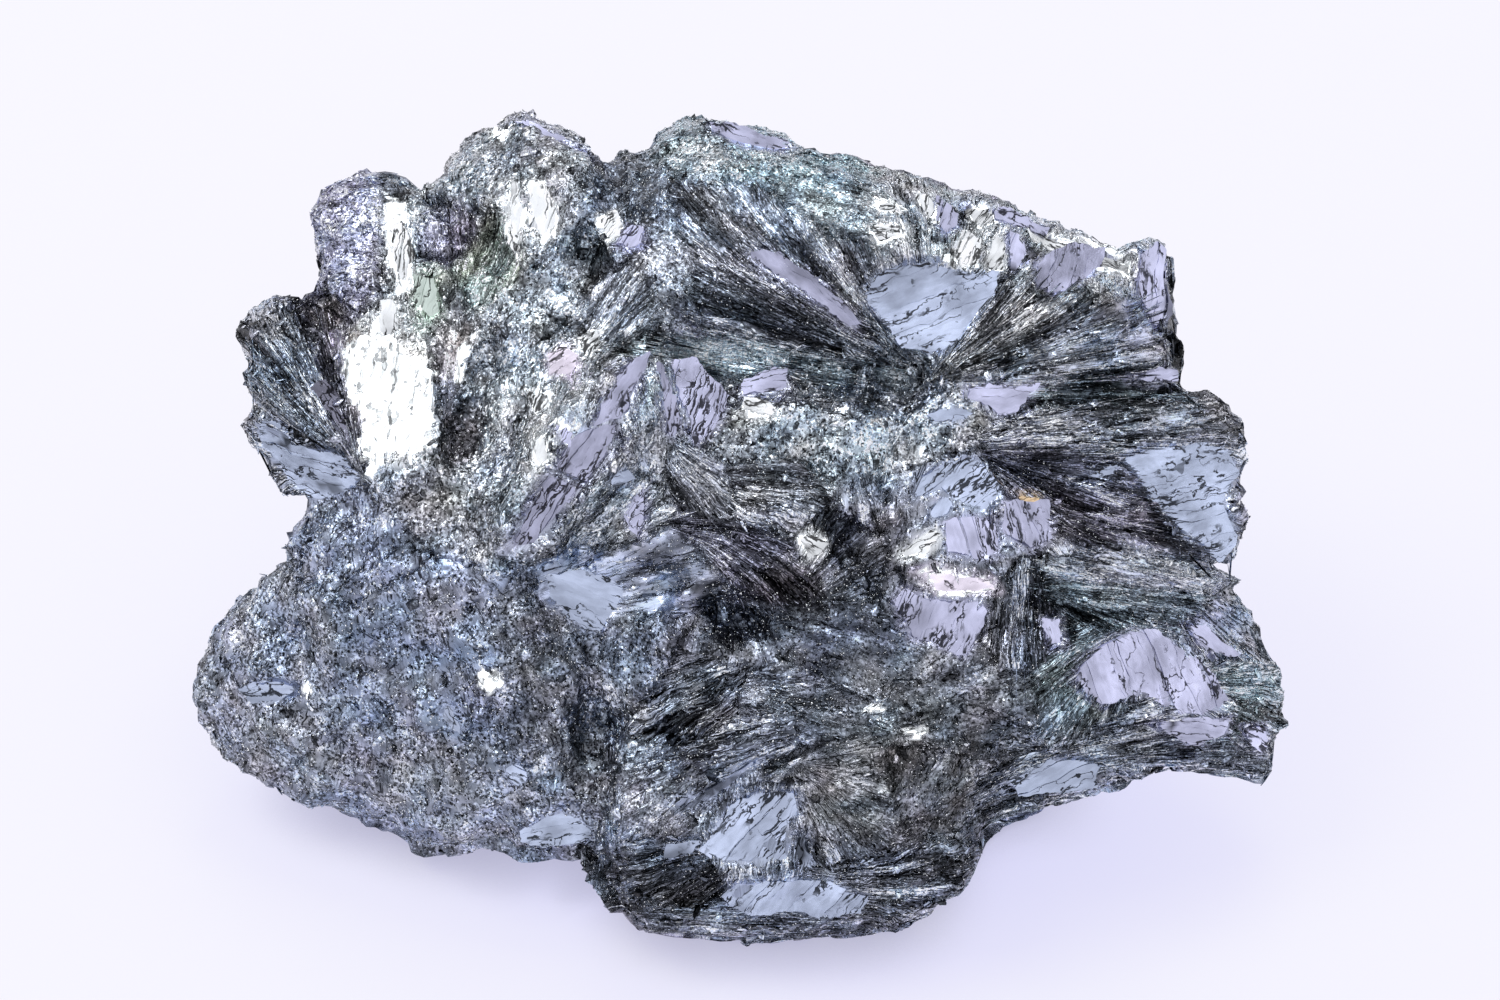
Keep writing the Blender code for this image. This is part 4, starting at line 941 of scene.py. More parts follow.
# %% Relief
# Heights in mm of the steps, ridges, lumps, broad sweeps, pits and dents, and of whole sheaves
STEP, RIDGE, LUMP, SWEEP, PIT, DENT, LEVEL = 0.55, 0.40, 0.30, 0.45, 0.55, 0.7, 0.45
GROUND_START, GROUND_OVER = 0.5, 1.8

sheaf_levels = chance.normal(0.0, LEVEL, len(SHEAF_ROWS))
lift = (STEP * steps + RIDGE * ridges) * (1.0 - grain) + LUMP * lumps * (0.3 + 0.7 * grain)
lift += page_blocks * (1.0 - grain) + grain_blocks * grain + sheaf_levels[which]
# The skin also sinks a little where the painted shade lies.
lift += SWEEP * broad - PIT * pits * grain - DENT * (1.0 - np.minimum(painted_shading, 1.0))
ground_room = np.clip((points[:, 2] / MM - GROUND_START) / GROUND_OVER, 0.0, 1.0)
moved = points + normals * (lift * ground_room)[:, None] * MM
print("relief from", lift.min().round(2), "to", lift.max().round(2), "mm")

# %% [markdown]
# ## Pressing the skin to the plates
# Under a plate the skin is pressed to the plate's plane, a little below it, so that nothing
# pokes through. Where plate and skin meet, the skin takes on the plate's tone and sheen over
# a short way, so the plate seems to grow out of the stone instead of lying on it.

# %% Press under the plates
# All in mm: how far below the plate, and how far the skin may sink or rise to get there
PRESS_BELOW = 0.28
DEEPEST_PRESS, HIGHEST_PRESS = -3.6, 2.2
# Over what width the tone blends, and how far outside the outline points are looked at
TONE_REACH, NEAR_PLATE = 1.8, 2.0
# Depths inside the outline where pressing starts, where small things keep off, and where the skin gets
# painted shade
PRESS_RIM, RIM_INSIDE, WELL_INSIDE = -0.5, 0.1, 0.5

on_plate, under_plate = np.zeros(len(points), bool), np.zeros(len(points), bool)
plate_tone, plate_share = np.zeros((len(points), 3)), np.zeros(len(points))
sheen = silks[which]
spots = places[:, :2]
for name, (light, tint, way, outline) in PLATES.items():
    low, high = np.min(outline, axis=0) - NEAR_PLATE, np.max(outline, axis=0) + NEAR_PLATE
    near = np.flatnonzero(is_front & (spots > low).all(axis=1) & (spots < high).all(axis=1))
    depth = depth_inside(places[near, 0], places[near, 1], outline)
    pressed = near[depth > PRESS_RIM]
    press = np.clip(0.5 + depth[depth > PRESS_RIM], 0.0, 1.0)
    drop = plate_height(name, places[pressed, 0], places[pressed, 1]) - PRESS_BELOW - places[pressed, 2]
    drop = np.clip(drop, DEEPEST_PRESS, HIGHEST_PRESS)
    flat = points[pressed] + OUTWARD * drop[:, None] * MM
    moved[pressed] += (flat - moved[pressed]) * press[:, None]
    on_plate[near[depth > RIM_INSIDE]] = True
    under_plate[near[depth > WELL_INSIDE]] = True
    share = np.clip(0.5 + depth / TONE_REACH, 0.0, 1.0)
    plate_tone[near[share > plate_share[near]]] = np.array(tint) * light
    plate_share[near] = np.maximum(plate_share[near], share)
    sheen[near] = np.maximum(sheen[near], share)
moved[:, 2] = np.maximum(moved[:, 2], 0.0)
body_mesh.vertices.foreach_set("co", moved.ravel())
body_mesh.update()
print("plates cover", round(100 * on_plate[is_front].mean()), "% of the face")

# %% [markdown]
# ## What the metal is told
# A texture image would need the stone to be unwrapped. Instead, every point of the skin carries
# attributes: where it is along and across its pages, which way the pages lie, how grainy,
# silky and shattered it is, and its tone. Streaks and threads run with the pages, clumps sit
# where it is grainy, and slow casts drift from cool to warm, as thin films do.

# %% Attributes and pieces
FIELDS = {"FLOAT_VECTOR": "vector", "FLOAT": "value", "FLOAT_COLOR": "color"}
BRIGHTEST = 0.96


def give(mesh, kind, **fields):
    """Point attributes of one kind, each with its values."""
    for name, values in fields.items():
        data = mesh.attributes.new(name, kind, "POINT").data
        data.foreach_set(FIELDS[kind], np.ascontiguousarray(values, dtype=np.float32).ravel())


def give_tone(mesh, colours):
    """The tone attribute, with no channel above the brightest that metal reflects."""
    capped = colours / np.maximum(colours.max(axis=1, keepdims=True) / BRIGHTEST, 1.0)
    give(mesh, "FLOAT_COLOR", tone=np.concatenate([capped, np.ones((len(colours), 1))], axis=1))


def add_piece(name, mesh):
    piece = bpy.data.objects.new(name, mesh)
    bpy.context.scene.collection.objects.link(piece)
    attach(piece, "root")
    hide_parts("hematite")
    print(name + ":", len(mesh.polygons), "faces")
    return piece


print("kinds of attribute:", ", ".join(FIELDS))

# %% Tone of the skin
PLATE_LIGHT = 1.35
# The skin under a plate shows only in its cracks, where shade falls, so it gets painted shade.
UNDER_PLATE_PAINTED_SHADE = 0.6
STREAK, THREAD, CLUMP, SHATTER_CLUMP = 2.1, 2.0, 0.7, 0.9
CAST_SHIFTS = (150.0, 210.0)

streaks = page_noise(12.0, 1.5, 31.0, 0.7, 2.0, 3)
threads = page_noise(6.0, 0.9, 57.0, 0.7, 2.0, 2)
clumps = cloud(1.3, 2, 710.0)
variety = 0.4 * grain * cloud(5.0, 2, 610.0) + 0.5 * cloud(2.8, 3, 90.0)
variety += (STREAK * streaks + THREAD * threads) * (1.0 - grain) \
    + (CLUMP + SHATTER_CLUMP * shatters[which]) * clumps * grain
# Painted shade: the pits of grainy skin are darkened in tone.
variety = np.exp(variety) * (1.0 - 0.7 * pits * grain)
# Painted shade and painted light from the spots darken or lighten the skin's tone.
skin_tone = tone * (painted_shading * variety)[:, None]
red, green = (0.12 * cloud(5.5, 2, shift) + 0.045 * cloud(1.8, 2, shift) for shift in CAST_SHIFTS)
skin_tone *= 1.0 + np.stack([red, 0.4 * green, -red], axis=1)
plate_tone *= PLATE_LIGHT
# The painted shade also dims the plates a little.
plate_tone *= (0.85 + 0.15 * np.minimum(painted_shading, 1.0))[:, None]
skin_tone += (plate_tone - skin_tone) * plate_share[:, None]
# Painted shade on the skin well under the plates.
skin_tone[under_plate] *= UNDER_PLATE_PAINTED_SHADE
print("streaks, threads and clumps vary by", [float(v.std().round(2)) for v in (streaks, threads, clumps)])

# %% The body piece
GLINT_SHAKE_X, GLINT_SHAKE_Y = 1.1, 0.6
SHARP_BODY = math.radians(42.0)

is_glint = np.zeros(len(points), bool)
# Rolling the noise on gives each point another point's value, so the two shifts differ.
shift_x, shift_y = GLINT_SHAKE_X * ragged, GLINT_SHAKE_Y * np.roll(ragged, 7)
for outline in GLINTS.values():
    is_glint |= is_front & is_inside(seen[:, 0] + shift_x, seen[:, 1] + shift_y, outline)
# Painted highlight: the skin inside a glint gets a near-white tone.
skin_tone[is_glint] = np.array(PAINTED_HIGHLIGHT)
sheen[is_glint] = 1.0
page_at = np.stack([along, across, which * 3.7], axis=1)
give(body_mesh, "FLOAT_VECTOR", page=page_at, lay=lays)
give(body_mesh, "FLOAT", grain=grain, sheen=sheen, shatter=shatters[which], glint=is_glint.astype(float))
give_tone(body_mesh, skin_tone)
body_mesh.shade_smooth()
body_mesh.set_sharp_from_angle(angle=SHARP_BODY)
body = add_piece("stone_body", body_mesh)
skin_tree = BVHTree.FromPolygons(moved.tolist(), [p.vertices[:] for p in body_mesh.polygons])

# %% [markdown]
# ## Making the plates
# Real plates are thin pages that have split side by side, so each plate is a row of shingles. A
# plate starts as its outline, torn a little with noise. Lines along its cracks cut it into
# shingles with gaps of different widths, and a finer grid of cuts lets each one bend. It is then
# laid on the plate's plane with a small tilt of its own and given a thickness by extruding it.

# %% Torn outlines
TEAR_STEP, TEAR = 0.3, 0.22


def torn(outline, seed):
    ring = []
    for (x0, y0), (x1, y1) in sides_of(outline):
        count = max(1, round(math.hypot(x1 - x0, y1 - y0) / TEAR_STEP))
        for k in range(count):
            x, y = x0 + (x1 - x0) * k / count, y0 + (y1 - y0) * k / count
            spot = Vector((x, y, seed))
            shake = noise.noise_vector(spot / 0.9) + 0.6 * noise.noise_vector(spot / 0.35)
            ring.append((x + TEAR * shake.x, y + TEAR * shake.y))
    return ring


def wavy(x, y):
    """Sideways shift of a plate's points, so that its cracks and rims wander."""
    slow = noise.noise_vector(Vector((x, y, 0.0)) / 3.0)
    quick = noise.noise_vector(Vector((x, y, 9.0)) / 0.9)
    return 0.55 * slow + 0.22 * quick


print("the torn valley plate has", len(torn(valley, 0.0)), "points round it")

# %% Cutting a sheet
BEND_CELL, LAST_CELL = 0.9, 0.3


def cut(sheet, spot, normal, clear=False):
    """Cut the sheet along a line. When clearing, what lies beyond it goes away."""
    everything = sheet.verts[:] + sheet.edges[:] + sheet.faces[:]
    bmesh.ops.bisect_plane(
        sheet, geom=everything, plane_co=spot, plane_no=normal, clear_outer=clear, dist=1e-4)


def cut_strip(ring, middle, across_way, near, far):
    """The part of the ring between two lines, with cuts both ways so that it can bend."""
    sheet = bmesh.new()
    sheet.faces.new([sheet.verts.new((x, y, 0.0)) for x, y in ring])
    for level, side in ((near, -1.0), (far, 1.0)):
        cut(sheet, Vector((*(middle + across_way * level), 0.0)), Vector((*across_way, 0.0)) * side, True)
    if not sheet.faces:
        sheet.free()
        return None
    spots = np.array([vert.co[:2] for vert in sheet.verts])
    low, high = spots.min(axis=0), spots.max(axis=0)
    for axis, line in ((0, Vector((1, 0, 0))), (1, Vector((0, 1, 0)))):
        for level in np.arange(low[axis] + BEND_CELL, high[axis] - LAST_CELL, BEND_CELL):
            cut(sheet, line * level, line)
    return sheet


print("a shingle is cut into cells of", BEND_CELL, "mm")

# %% Shingles of a plate
SHINGLE_WIDTHS = (0.9, 3.2)
GAPS, GAP_CHANCES = (0.0, 0.07, 0.16, 0.30), (0.35, 0.30, 0.25, 0.10)
SHINGLE_LEVEL, SHINGLE_TILT, SHINGLE_TILT_SPREAD = 0.07, -0.03, 0.03
SHADE_SPREAD = 0.07
PLATE_THICKNESS = 1.2
# Plates with few and narrow cracks
PLAIN_PLATES = {
    "wing_big", "wing_plate", "valley", "slant_top", "left_plate", "grey_plate", "foot_a", "foot_left",
    "fan_patch", "fan_strip", "silk", "ridge_grey", "grain_plate_a", "grain_plate_c", "lobe_foot",
    "crest_plate", "peak_plate", "pink_plate", "wing_chip", "green_b",
}
PLAIN_GAP, PLAIN_INSET = 0.3, 0.7


def plate_shingles(name, number):
    """The plate as a row of shingles: the mesh of each, and the page, tone and inset of its points."""
    light, tint, way, outline = PLATES[name]
    middle = planes[name][0]
    plain = name in PLAIN_PLATES
    ring = torn(outline, number * 3.1)
    across_way = np.array([-math.sin(math.radians(way)), math.cos(math.radians(way))])
    reach = (np.array(ring) - middle) @ across_way
    cuts = [reach.min() - 0.1]
    while cuts[-1] < reach.max():
        cuts.append(cuts[-1] + chance.uniform(*SHINGLE_WIDTHS))
    shingles = []
    for near, far in zip(cuts, cuts[1:]):
        far -= chance.choice(GAPS, p=GAP_CHANCES) * (PLAIN_GAP if plain else 1.0)
        sheet = cut_strip(ring, middle, across_way, near, far)
        if sheet is None:
            continue
        spots = np.array([vert.co[:2] for vert in sheet.verts])
        heights = plate_height(name, spots[:, 0], spots[:, 1])
        level, slope = chance.normal(0.0, SHINGLE_LEVEL), chance.normal(SHINGLE_TILT, SHINGLE_TILT_SPREAD)
        off = (spots - middle) @ across_way - near
        for vert, height, away in zip(sheet.verts, heights, off):
            shift = wavy(vert.co.x, vert.co.y)
            vert.co = (vert.co.x + shift.x, vert.co.y + shift.y, height + level + slope * away)
        shell = bmesh.ops.extrude_face_region(sheet, geom=sheet.faces[:], use_keep_orig=True)
        bottom = [item for item in shell["geom"] if isinstance(item, bmesh.types.BMVert)]
        bmesh.ops.translate(sheet, verts=bottom, vec=(0, 0, -PLATE_THICKNESS))
        bmesh.ops.recalc_face_normals(sheet, faces=sheet.faces)
        made = mesh_of(sheet, name)
        where = read_points(made)
        made.vertices.foreach_set("co", from_face(where).ravel())
        page_x, page_y = turned(where[:, 0], where[:, 1], way)
        edge = np.clip(depth_inside(where[:, 0], where[:, 1], outline), 0.0, 9.0)
        shade = math.exp(chance.normal(0.0, SHADE_SPREAD))
        # Painted shade from the spots darkens the shingles too.
        kept = np.minimum(painted_shading_at(*as_seen(where).T, np.zeros((len(where), 2))), 1.0)
        shingles.append((
            made,
            np.stack([page_x, page_y, np.full(len(where), number * 5.1)], axis=1),
            np.outer(kept, np.array(tint) * light * PLATE_LIGHT * shade),
            edge / (0.5 * min(np.ptp(ring, axis=0))) + (PLAIN_INSET if plain else 0.0),
        ))
    return shingles


print(len(PLAIN_PLATES), "plates have few cracks")

# %% The mirror plates
SHARP_PLATE = math.radians(35.0)


def joined(name, shingles):
    """One mesh from many, with their attributes."""
    meshes, pages, tones, insets = zip(*shingles)
    bm = bmesh.new()
    for mesh in meshes:
        bm.from_mesh(mesh)
    whole = mesh_of(bm, name)
    give(whole, "FLOAT_VECTOR", page=np.concatenate(pages))
    give_tone(whole, np.concatenate(tones))
    give(whole, "FLOAT", inset=np.concatenate(insets))
    return whole


shingles = [shingle for number, name in enumerate(PLATES) for shingle in plate_shingles(name, number)]
plates = add_piece("mirror_plates", joined("mirror_plates", shingles))
plates.data.shade_smooth()
plates.data.set_sharp_from_angle(angle=SHARP_PLATE)
print("the plates are split into", len(shingles), "shingles")

# %% [markdown]
# ## Strewing small things over the body
# Page edges and flakes are far too many to place by hand. Geometry nodes could scatter them,
# but each one here also needs the tone and the page direction of the skin below it. So points
# are drawn at random over the body's faces, more of them where a sheaf asks for more, and all
# copies of one shape are made as a single mesh.

# %% Random places on the body
body_mesh.calc_loop_triangles()
triangles = body_mesh.loop_triangles
corner_ids = np.empty(len(triangles) * 3, np.int32)
triangles.foreach_get("vertices", corner_ids)
corner_ids = corner_ids.reshape(-1, 3)
triangle_areas = np.empty(len(triangles))
triangles.foreach_get("area", triangle_areas)
skin_normals = read_points(body_mesh, "normal")


def strew(count, wish):
    """That many places on the body, each as likely as its area times the wish of its corner."""
    likely = triangle_areas * wish[corner_ids[:, 0]]
    picked = chance.choice(len(corner_ids), size=count, p=likely / likely.sum())
    u, v = chance.random(count), chance.random(count)
    flip = u + v > 1.0
    u[flip], v[flip] = 1.0 - u[flip], 1.0 - v[flip]
    a, b, c = (corner_ids[picked, k] for k in range(3))
    spot = moved[a] + (moved[b] - moved[a]) * u[:, None] + (moved[c] - moved[a]) * v[:, None]
    return spot, a


def copies_of(template, name, placed):
    """One mesh holding a copy of the template for each row of placed points."""
    count, size = placed.shape[:2]
    mesh = bpy.data.meshes.new(name)
    mesh.vertices.add(count * size)
    mesh.vertices.foreach_set("co", placed.reshape(-1))
    offsets = np.arange(count)[:, None, None] * size
    loops, lengths = [], []
    for sides in sorted({len(p.vertices) for p in template.polygons}):
        faces = np.array([tuple(p.vertices) for p in template.polygons if len(p.vertices) == sides])
        loops.append((faces[None] + offsets).reshape(-1))
        lengths.append(np.full(count * len(faces), sides))
    loops, lengths = np.concatenate(loops), np.concatenate(lengths)
    mesh.loops.add(len(loops))
    mesh.loops.foreach_set("vertex_index", loops.astype(np.int32))
    mesh.polygons.add(len(lengths))
    mesh.polygons.foreach_set("loop_start", (np.cumsum(lengths) - lengths).astype(np.int32))
    mesh.update(calc_edges=True)
    return mesh


print("body:", len(triangles), "triangles,", round(triangle_areas.sum() * 1e6), "mm2")

# %% [markdown]
# ## Page edges
# The free edge of a page is a long, thin wedge: one long side buried, the other standing a
# little proud. Fine lines in a bump map would vanish at the outline and in close views, so the
# edges are modelled. The wedge is made once, straight. Each copy is then bent along the line
# its page follows, a step at a time, staying on the skin.

# %% One page edge
CORNERS = 3


def wedge_template(sections):
    bm = bmesh.new()
    bmesh.ops.create_cone(bm, segments=CORNERS, radius1=0.5, radius2=0.5, depth=1.0, cap_ends=True)
    sides = [e for e in bm.edges if abs(e.verts[0].co.z - e.verts[1].co.z) > 0.5]
    bmesh.ops.subdivide_edges(bm, edges=sides, cuts=sections - 2)
    bmesh.ops.recalc_face_normals(bm, faces=bm.faces)
    return mesh_of(bm, "wedge")


def section_and_corner(wedge, sections):
    """Which section, and which of its three corners, each point of the wedge is."""
    at = read_points(wedge)
    section = np.rint((at[:, 2] + 0.5) * (sections - 1)).astype(int)
    turn = np.degrees(np.arctan2(at[:, 1], at[:, 0]))
    return section, np.rint(turn / (360.0 / CORNERS)).astype(int) % CORNERS


print("one page edge:", len(wedge_template(7).polygons), "faces")


# %% Lines that the pages follow
ABOVE_SKIN = 0.03
NEAREST_ROOT = 0.4


def on_skin(base, out, level):
    """The skin straight below a place, or else the nearest skin to where it should be."""
    hit, normal = skin_tree.ray_cast(Vector(base + out * ABOVE_SKIN), Vector(-out))[:2]
    if hit is None:
        hit, normal = skin_tree.find_nearest(Vector(base + out * level * MM))[:2]
    return hit, normal


def follow(spots, which, lengths, sections):
    """Section centres, outward ways and page ways along each line."""
    lines = np.empty((len(spots), sections, 3))
    outs, runs = np.empty_like(lines), np.empty_like(lines)
    middle = sections // 2
    steps = (np.arange(sections) - middle) / (sections - 1)
    for k in np.unique(which):
        row = SHEAF_ROWS[k]
        own = np.flatnonzero(which == k)
        radius, angle, local = sheaf_polar(spots[own], row)
        reach = np.maximum(radius[:, None] + steps * (lengths[own] / MM)[:, None], NEAREST_ROOT)
        swing = angle[:, None] + row["curl"] * (reach - radius[:, None])
        flat = np.stack([reach * np.cos(swing), reach * np.sin(swing), np.zeros_like(swing)], axis=2)
        for n, line in enumerate(own):
            for j in range(sections):
                base = row["root"] + flat[n, j] @ row["axes"] * MM
                lines[line, j], outs[line, j] = on_skin(base, row["axes"][2], local[n, 2])
        runs[own] = page_ways(row, reach, swing)
    # A section that fell over a cliff stays with the middle one.
    gone = np.linalg.norm(lines - lines[:, middle:middle + 1], axis=2) > 0.7 * lengths[:, None] + 0.4 * MM
    lines = np.where(gone[..., None], lines[:, middle:middle + 1], lines)
    outs = np.where(gone[..., None], outs[:, middle:middle + 1], outs)
    outs[:, 1:-1] = unit(outs[:, 1:-1] + 0.7 * (outs[:, :-2] + outs[:, 2:]))
    runs = unit(runs - (runs * outs).sum(axis=2, keepdims=True) * outs)
    return lines, outs, runs


print("no line comes nearer to its root than", NEAREST_ROOT, "mm")


# %% Many page edges
LEAST_HEIGHT = 0.02 * MM
EDGE_SINK, FOOT_SINK = 0.10, 0.16
EDGE_SHAKE = 0.05
BRIGHT_EDGES, BRIGHT_SILKY = 0.10, 0.36


def page_edges(name, count, sections, length, width, rise, wish):
    """Bent wedges along the pages, most of them dark and some with a painted highlight in their tone, as the
    skin below them asks.
    """
    spots, corner = strew(count, wish)
    lengths, widths, rises = (chance.uniform(*span, count) * MM for span in (length, width, rise))
    lines, outs, runs = follow(spots, which[corner], lengths, sections)
    lays_here = unit(np.cross(outs, runs)) * chance.choice([1.0, 1.0, 1.0, -1.0], count)[:, None, None]
    share = np.linspace(0.0, 1.0, sections)
    taper = np.sin(math.pi * (0.08 + 0.84 * share)) ** 0.7
    wide = widths[:, None] * taper * chance.uniform(0.6, 1.3, (count, sections))
    high = rises[:, None] * taper
    shake = chance.normal(0.0, EDGE_SHAKE, (count, sections)) * MM
    free = lines + lays_here * (wide * 0.5 + shake)[..., None] + outs * high[..., None]
    buried = lines - lays_here * (wide * 0.5 - shake)[..., None] - outs * EDGE_SINK * MM
    foot = lines + lays_here * wide[..., None] * 0.38 - outs * FOOT_SINK * MM
    corners = np.stack([free, buried, foot], axis=2)
    corners[..., 2] = np.maximum(corners[..., 2], LEAST_HEIGHT)
    wedge = wedge_template(sections)
    section, side = section_and_corner(wedge, sections)
    bm = bmesh.new()
    bm.from_mesh(copies_of(wedge, name, corners[:, section, side]))
    bmesh.ops.recalc_face_normals(bm, faces=bm.faces)
    mesh = mesh_of(bm, name)
    # Painted highlight: some edges, more on silky sheaves, get a tone 1.8 to 3.6 times the skin's.
    is_bright = chance.random(count) < BRIGHT_EDGES + BRIGHT_SILKY * silks[which[corner]]
    shade = np.where(is_bright, chance.uniform(1.8, 3.6, count), np.exp(chance.normal(-0.9, 0.65, count)))
    shade = shade ** (0.35 + 0.65 * shatters[which[corner]])
    give_tone(mesh, np.repeat(skin_tone[corner] * shade[:, None], len(section), axis=0))
    return add_piece(name, mesh)


print("page edges sink", EDGE_SINK, "to", FOOT_SINK, "mm into the skin")

# %% Page edges in three sizes
# They are wished for on bare, paged skin, more on the face than on the back.
paged = (1.0 - grain) ** 1.3
open_skin = np.where(on_plate | is_glint, 0.0, 1.0) * ground_room * np.where(painted_shading < 0.35, 0.3, 1.0)
edge_wish = np.where(is_front, 2.4, 0.6) * (0.03 + paged) * open_skin
# Long edges go to the clear fans that face outward, hairs to the mats between fan and grain.
fan_wish = edge_wish * fade((grain - 0.10) / 0.35) * np.clip((facing - 0.35) / 0.3, 0.0, 1.0)
mat_wish = edge_wish * (1.0 - 0.85 * fade((grain - 0.10) / 0.30))
# name, count, sections, then length, width and rise in mm, and where they are wished for
edge_pieces = [
    page_edges("page_edges_long", 3000, 9, (3.0, 11.0), (0.05, 0.15), (0.04, 0.13), fan_wish),
    page_edges("page_edges_fine", 4200, 5, (1.0, 4.0), (0.05, 0.14), (0.04, 0.12), edge_wish),
    page_edges("page_edges_hair", 10000, 3, (0.4, 1.5), (0.05, 0.11), (0.04, 0.12), mat_wish),
]

# %% [markdown]
# ## Flakes
# A flake is a small crystal plate, as thin as paper, with five uneven sides. Painted specks
# would look the same from everywhere, but a real flake flashes only when it faces the light, so
# thousands of them are modelled, all from one template.

# %% One flake, and many
UNEVEN = (1.0, 0.82, 1.08, 0.74, 0.95)
LAMP_BORDER = 12.0 * MM


def flake_template(sides):
    bm = bmesh.new()
    ring = bmesh.ops.create_circle(bm, cap_ends=True, segments=sides, radius=0.5)
    for vert, share in zip(ring["verts"], UNEVEN):
        vert.co *= share
    shell = bmesh.ops.extrude_face_region(bm, geom=bm.faces[:], use_keep_orig=True)
    top = [item for item in shell["geom"] if isinstance(item, bmesh.types.BMVert)]
    bmesh.ops.translate(bm, verts=top, vec=(0, 0, 1.0))
    bmesh.ops.recalc_face_normals(bm, faces=bm.faces)
    return mesh_of(bm, "flake")


def place_flakes(name, spots, run, up, sizes, tones, sides=5):
    """Flakes that lie with their length along the run and their face to up."""
    flake = flake_template(sides)
    flake_points = read_points(flake)
    frames = np.stack([run, np.cross(up, run), up], axis=1)
    placed = spots[:, None] + np.einsum("kv,nv,nvx->nkx", flake_points, np.stack(sizes, axis=1) * MM, frames)
    placed[..., 2] = np.maximum(placed[..., 2], LEAST_HEIGHT)
    mesh = copies_of(flake, name, placed)
    give_tone(mesh, np.repeat(tones, len(flake_points), axis=0))
    return add_piece(name, mesh)


def halfway(spots):
    """The way that mirrors the key lamp out of the face, or on the right the back lamp."""
    lamp = np.where((spots[:, 0] > LAMP_BORDER)[:, None], BACK_WAY, KEY_WAY)
    return unit(OUTWARD + lamp)


def mostly_small(width, count):
    """Widths in a span, most of them near its small end."""
    return width[0] + (width[1] - width[0]) * chance.random(count) ** 2.0


print("one flake:", len(flake_template(5).polygons), "faces")

# %% [markdown]
# ## Blades, flakes and sparkles
# Blades are strips that lie along the pages and turn with a slow swirl where the stone is
# grainy. Flakes, and the larger chips, lean off the skin in every direction. Sparkles face
# outward or halfway to a lamp, most of them tiny, and their tone is painted nearly white as a
# painted highlight: they are the glitter of the fine-grained patches. Each kind is a call of one
# function with its own sizes and angles.

# %% Blades
swirl = cloud(3.4, 2, 260.0) * 1.6


def blades(name, count, wish, length, width, tilt, boost):
    """Small flat strips that lie along the pages, each rolled a little about its length."""
    spots, corner = strew(count, wish)
    roll, pitch, yaw = (chance.normal(0.0, spread, count)[:, None] for spread in (tilt, 0.08, 0.16))
    yaw = yaw + (0.9 * swirl[corner] + chance.normal(0.0, 0.9, count))[:, None] * grain[corner][:, None]
    up = unit(skin_normals[corner] + lays[corner] * roll + ways[corner] * pitch)
    run = ways[corner] + lays[corner] * yaw
    run = unit(run - (run * up).sum(axis=1, keepdims=True) * up)
    sizes = [chance.uniform(*length, count), chance.uniform(*width, count), np.full(count, 0.07)]
    shade = np.exp(chance.normal(-0.25, 0.85, count)) * boost
    return place_flakes(name, spots, run, up, sizes, skin_tone[corner] * shade[:, None])


flake_wish = np.where(is_front, 3.4, 0.8) * (0.12 + grain**1.2) * open_skin
blade_wish = mat_wish + 0.2 * flake_wish
# name, count, wish, length and width in mm, roll, how much brighter than the skin
flake_pieces = [
    blades("blades", 9000, blade_wish, (0.25, 1.0), (0.08, 0.24), 0.45, 1.1),
    blades("broad_blades", 900, blade_wish, (1.0, 3.2), (0.35, 0.9), 0.25, 1.15),
]


# %% Flakes, chips and sparkles
def flakes(name, count, wish, width, thick, tilt, lamp_share, boost, spread):
    """Uneven plates that lean away from the skin, some of them turned to a lamp."""
    spots, corner = strew(count, wish)
    out = skin_normals[corner]
    lean = np.abs(chance.normal(0.0, tilt, count))
    spin = chance.uniform(0.0, 2 * math.pi, count)
    side = unit(np.cross(out, [0.31, 0.2, 0.93]))
    tip = side * np.cos(spin)[:, None] + np.cross(out, side) * np.sin(spin)[:, None]
    up = out * np.cos(lean)[:, None] + tip * np.sin(lean)[:, None]
    lit = chance.random(count) < lamp_share
    up[lit] = unit(halfway(spots) + 0.13 * chance.normal(size=(count, 3)))[lit]
    flat_x = unit(np.cross(up, tip + 0.01))
    wide = mostly_small(width, count)
    sizes = [wide, wide * chance.uniform(0.5, 1.0, count), np.full(count, thick)]
    shade = np.exp(chance.normal(-0.1, spread, count)) * boost
    return place_flakes(name, spots, flat_x, up, sizes, skin_tone[corner] * shade[:, None])


def sparkles(name, count, wish, width):
    """Three-sided flakes that face the eye or a lamp, with a tone painted nearly white as a painted
    highlight.
    """
    spots, corner = strew(count, wish)
    aim = np.where((chance.random(count) < 0.5)[:, None], OUTWARD, halfway(spots))
    up = unit(aim + 0.10 * chance.normal(size=(count, 3)))
    across_up = unit(np.cross(up, chance.normal(size=(count, 3))))
    wide = mostly_small(width, count)
    sizes = [wide, wide * chance.uniform(0.6, 1.0, count), np.full(count, 0.05)]
    # Painted highlight: most of each sparkle's tone is painted near white.
    highlight_share = chance.uniform(0.7, 1.0, count)[:, None]
    tones = skin_tone[corner] * 2.4 * (1.0 - highlight_share) + np.array(PAINTED_HIGHLIGHT) * highlight_share
    return place_flakes(name, spots + up * 0.04 * MM, across_up, up, sizes, tones, sides=3)


mixed = (places[:, 0] < -13.0) & (places[:, 1] > 4.0) & is_front
swarms = 0.25 + 1.5 * fade((cloud(3.0, 3, 330.0) + 0.1) / 0.5)
spark_wish = np.where(is_front, 3.0, 0.6) * (0.7 + 0.6 * grain) * open_skin * swarms
chip_wish = np.where(is_front, 1.6, 0.4) * (0.25 + grain) * open_skin * np.where(mixed, 2.5, 1.0)
shattered = shatters[which]
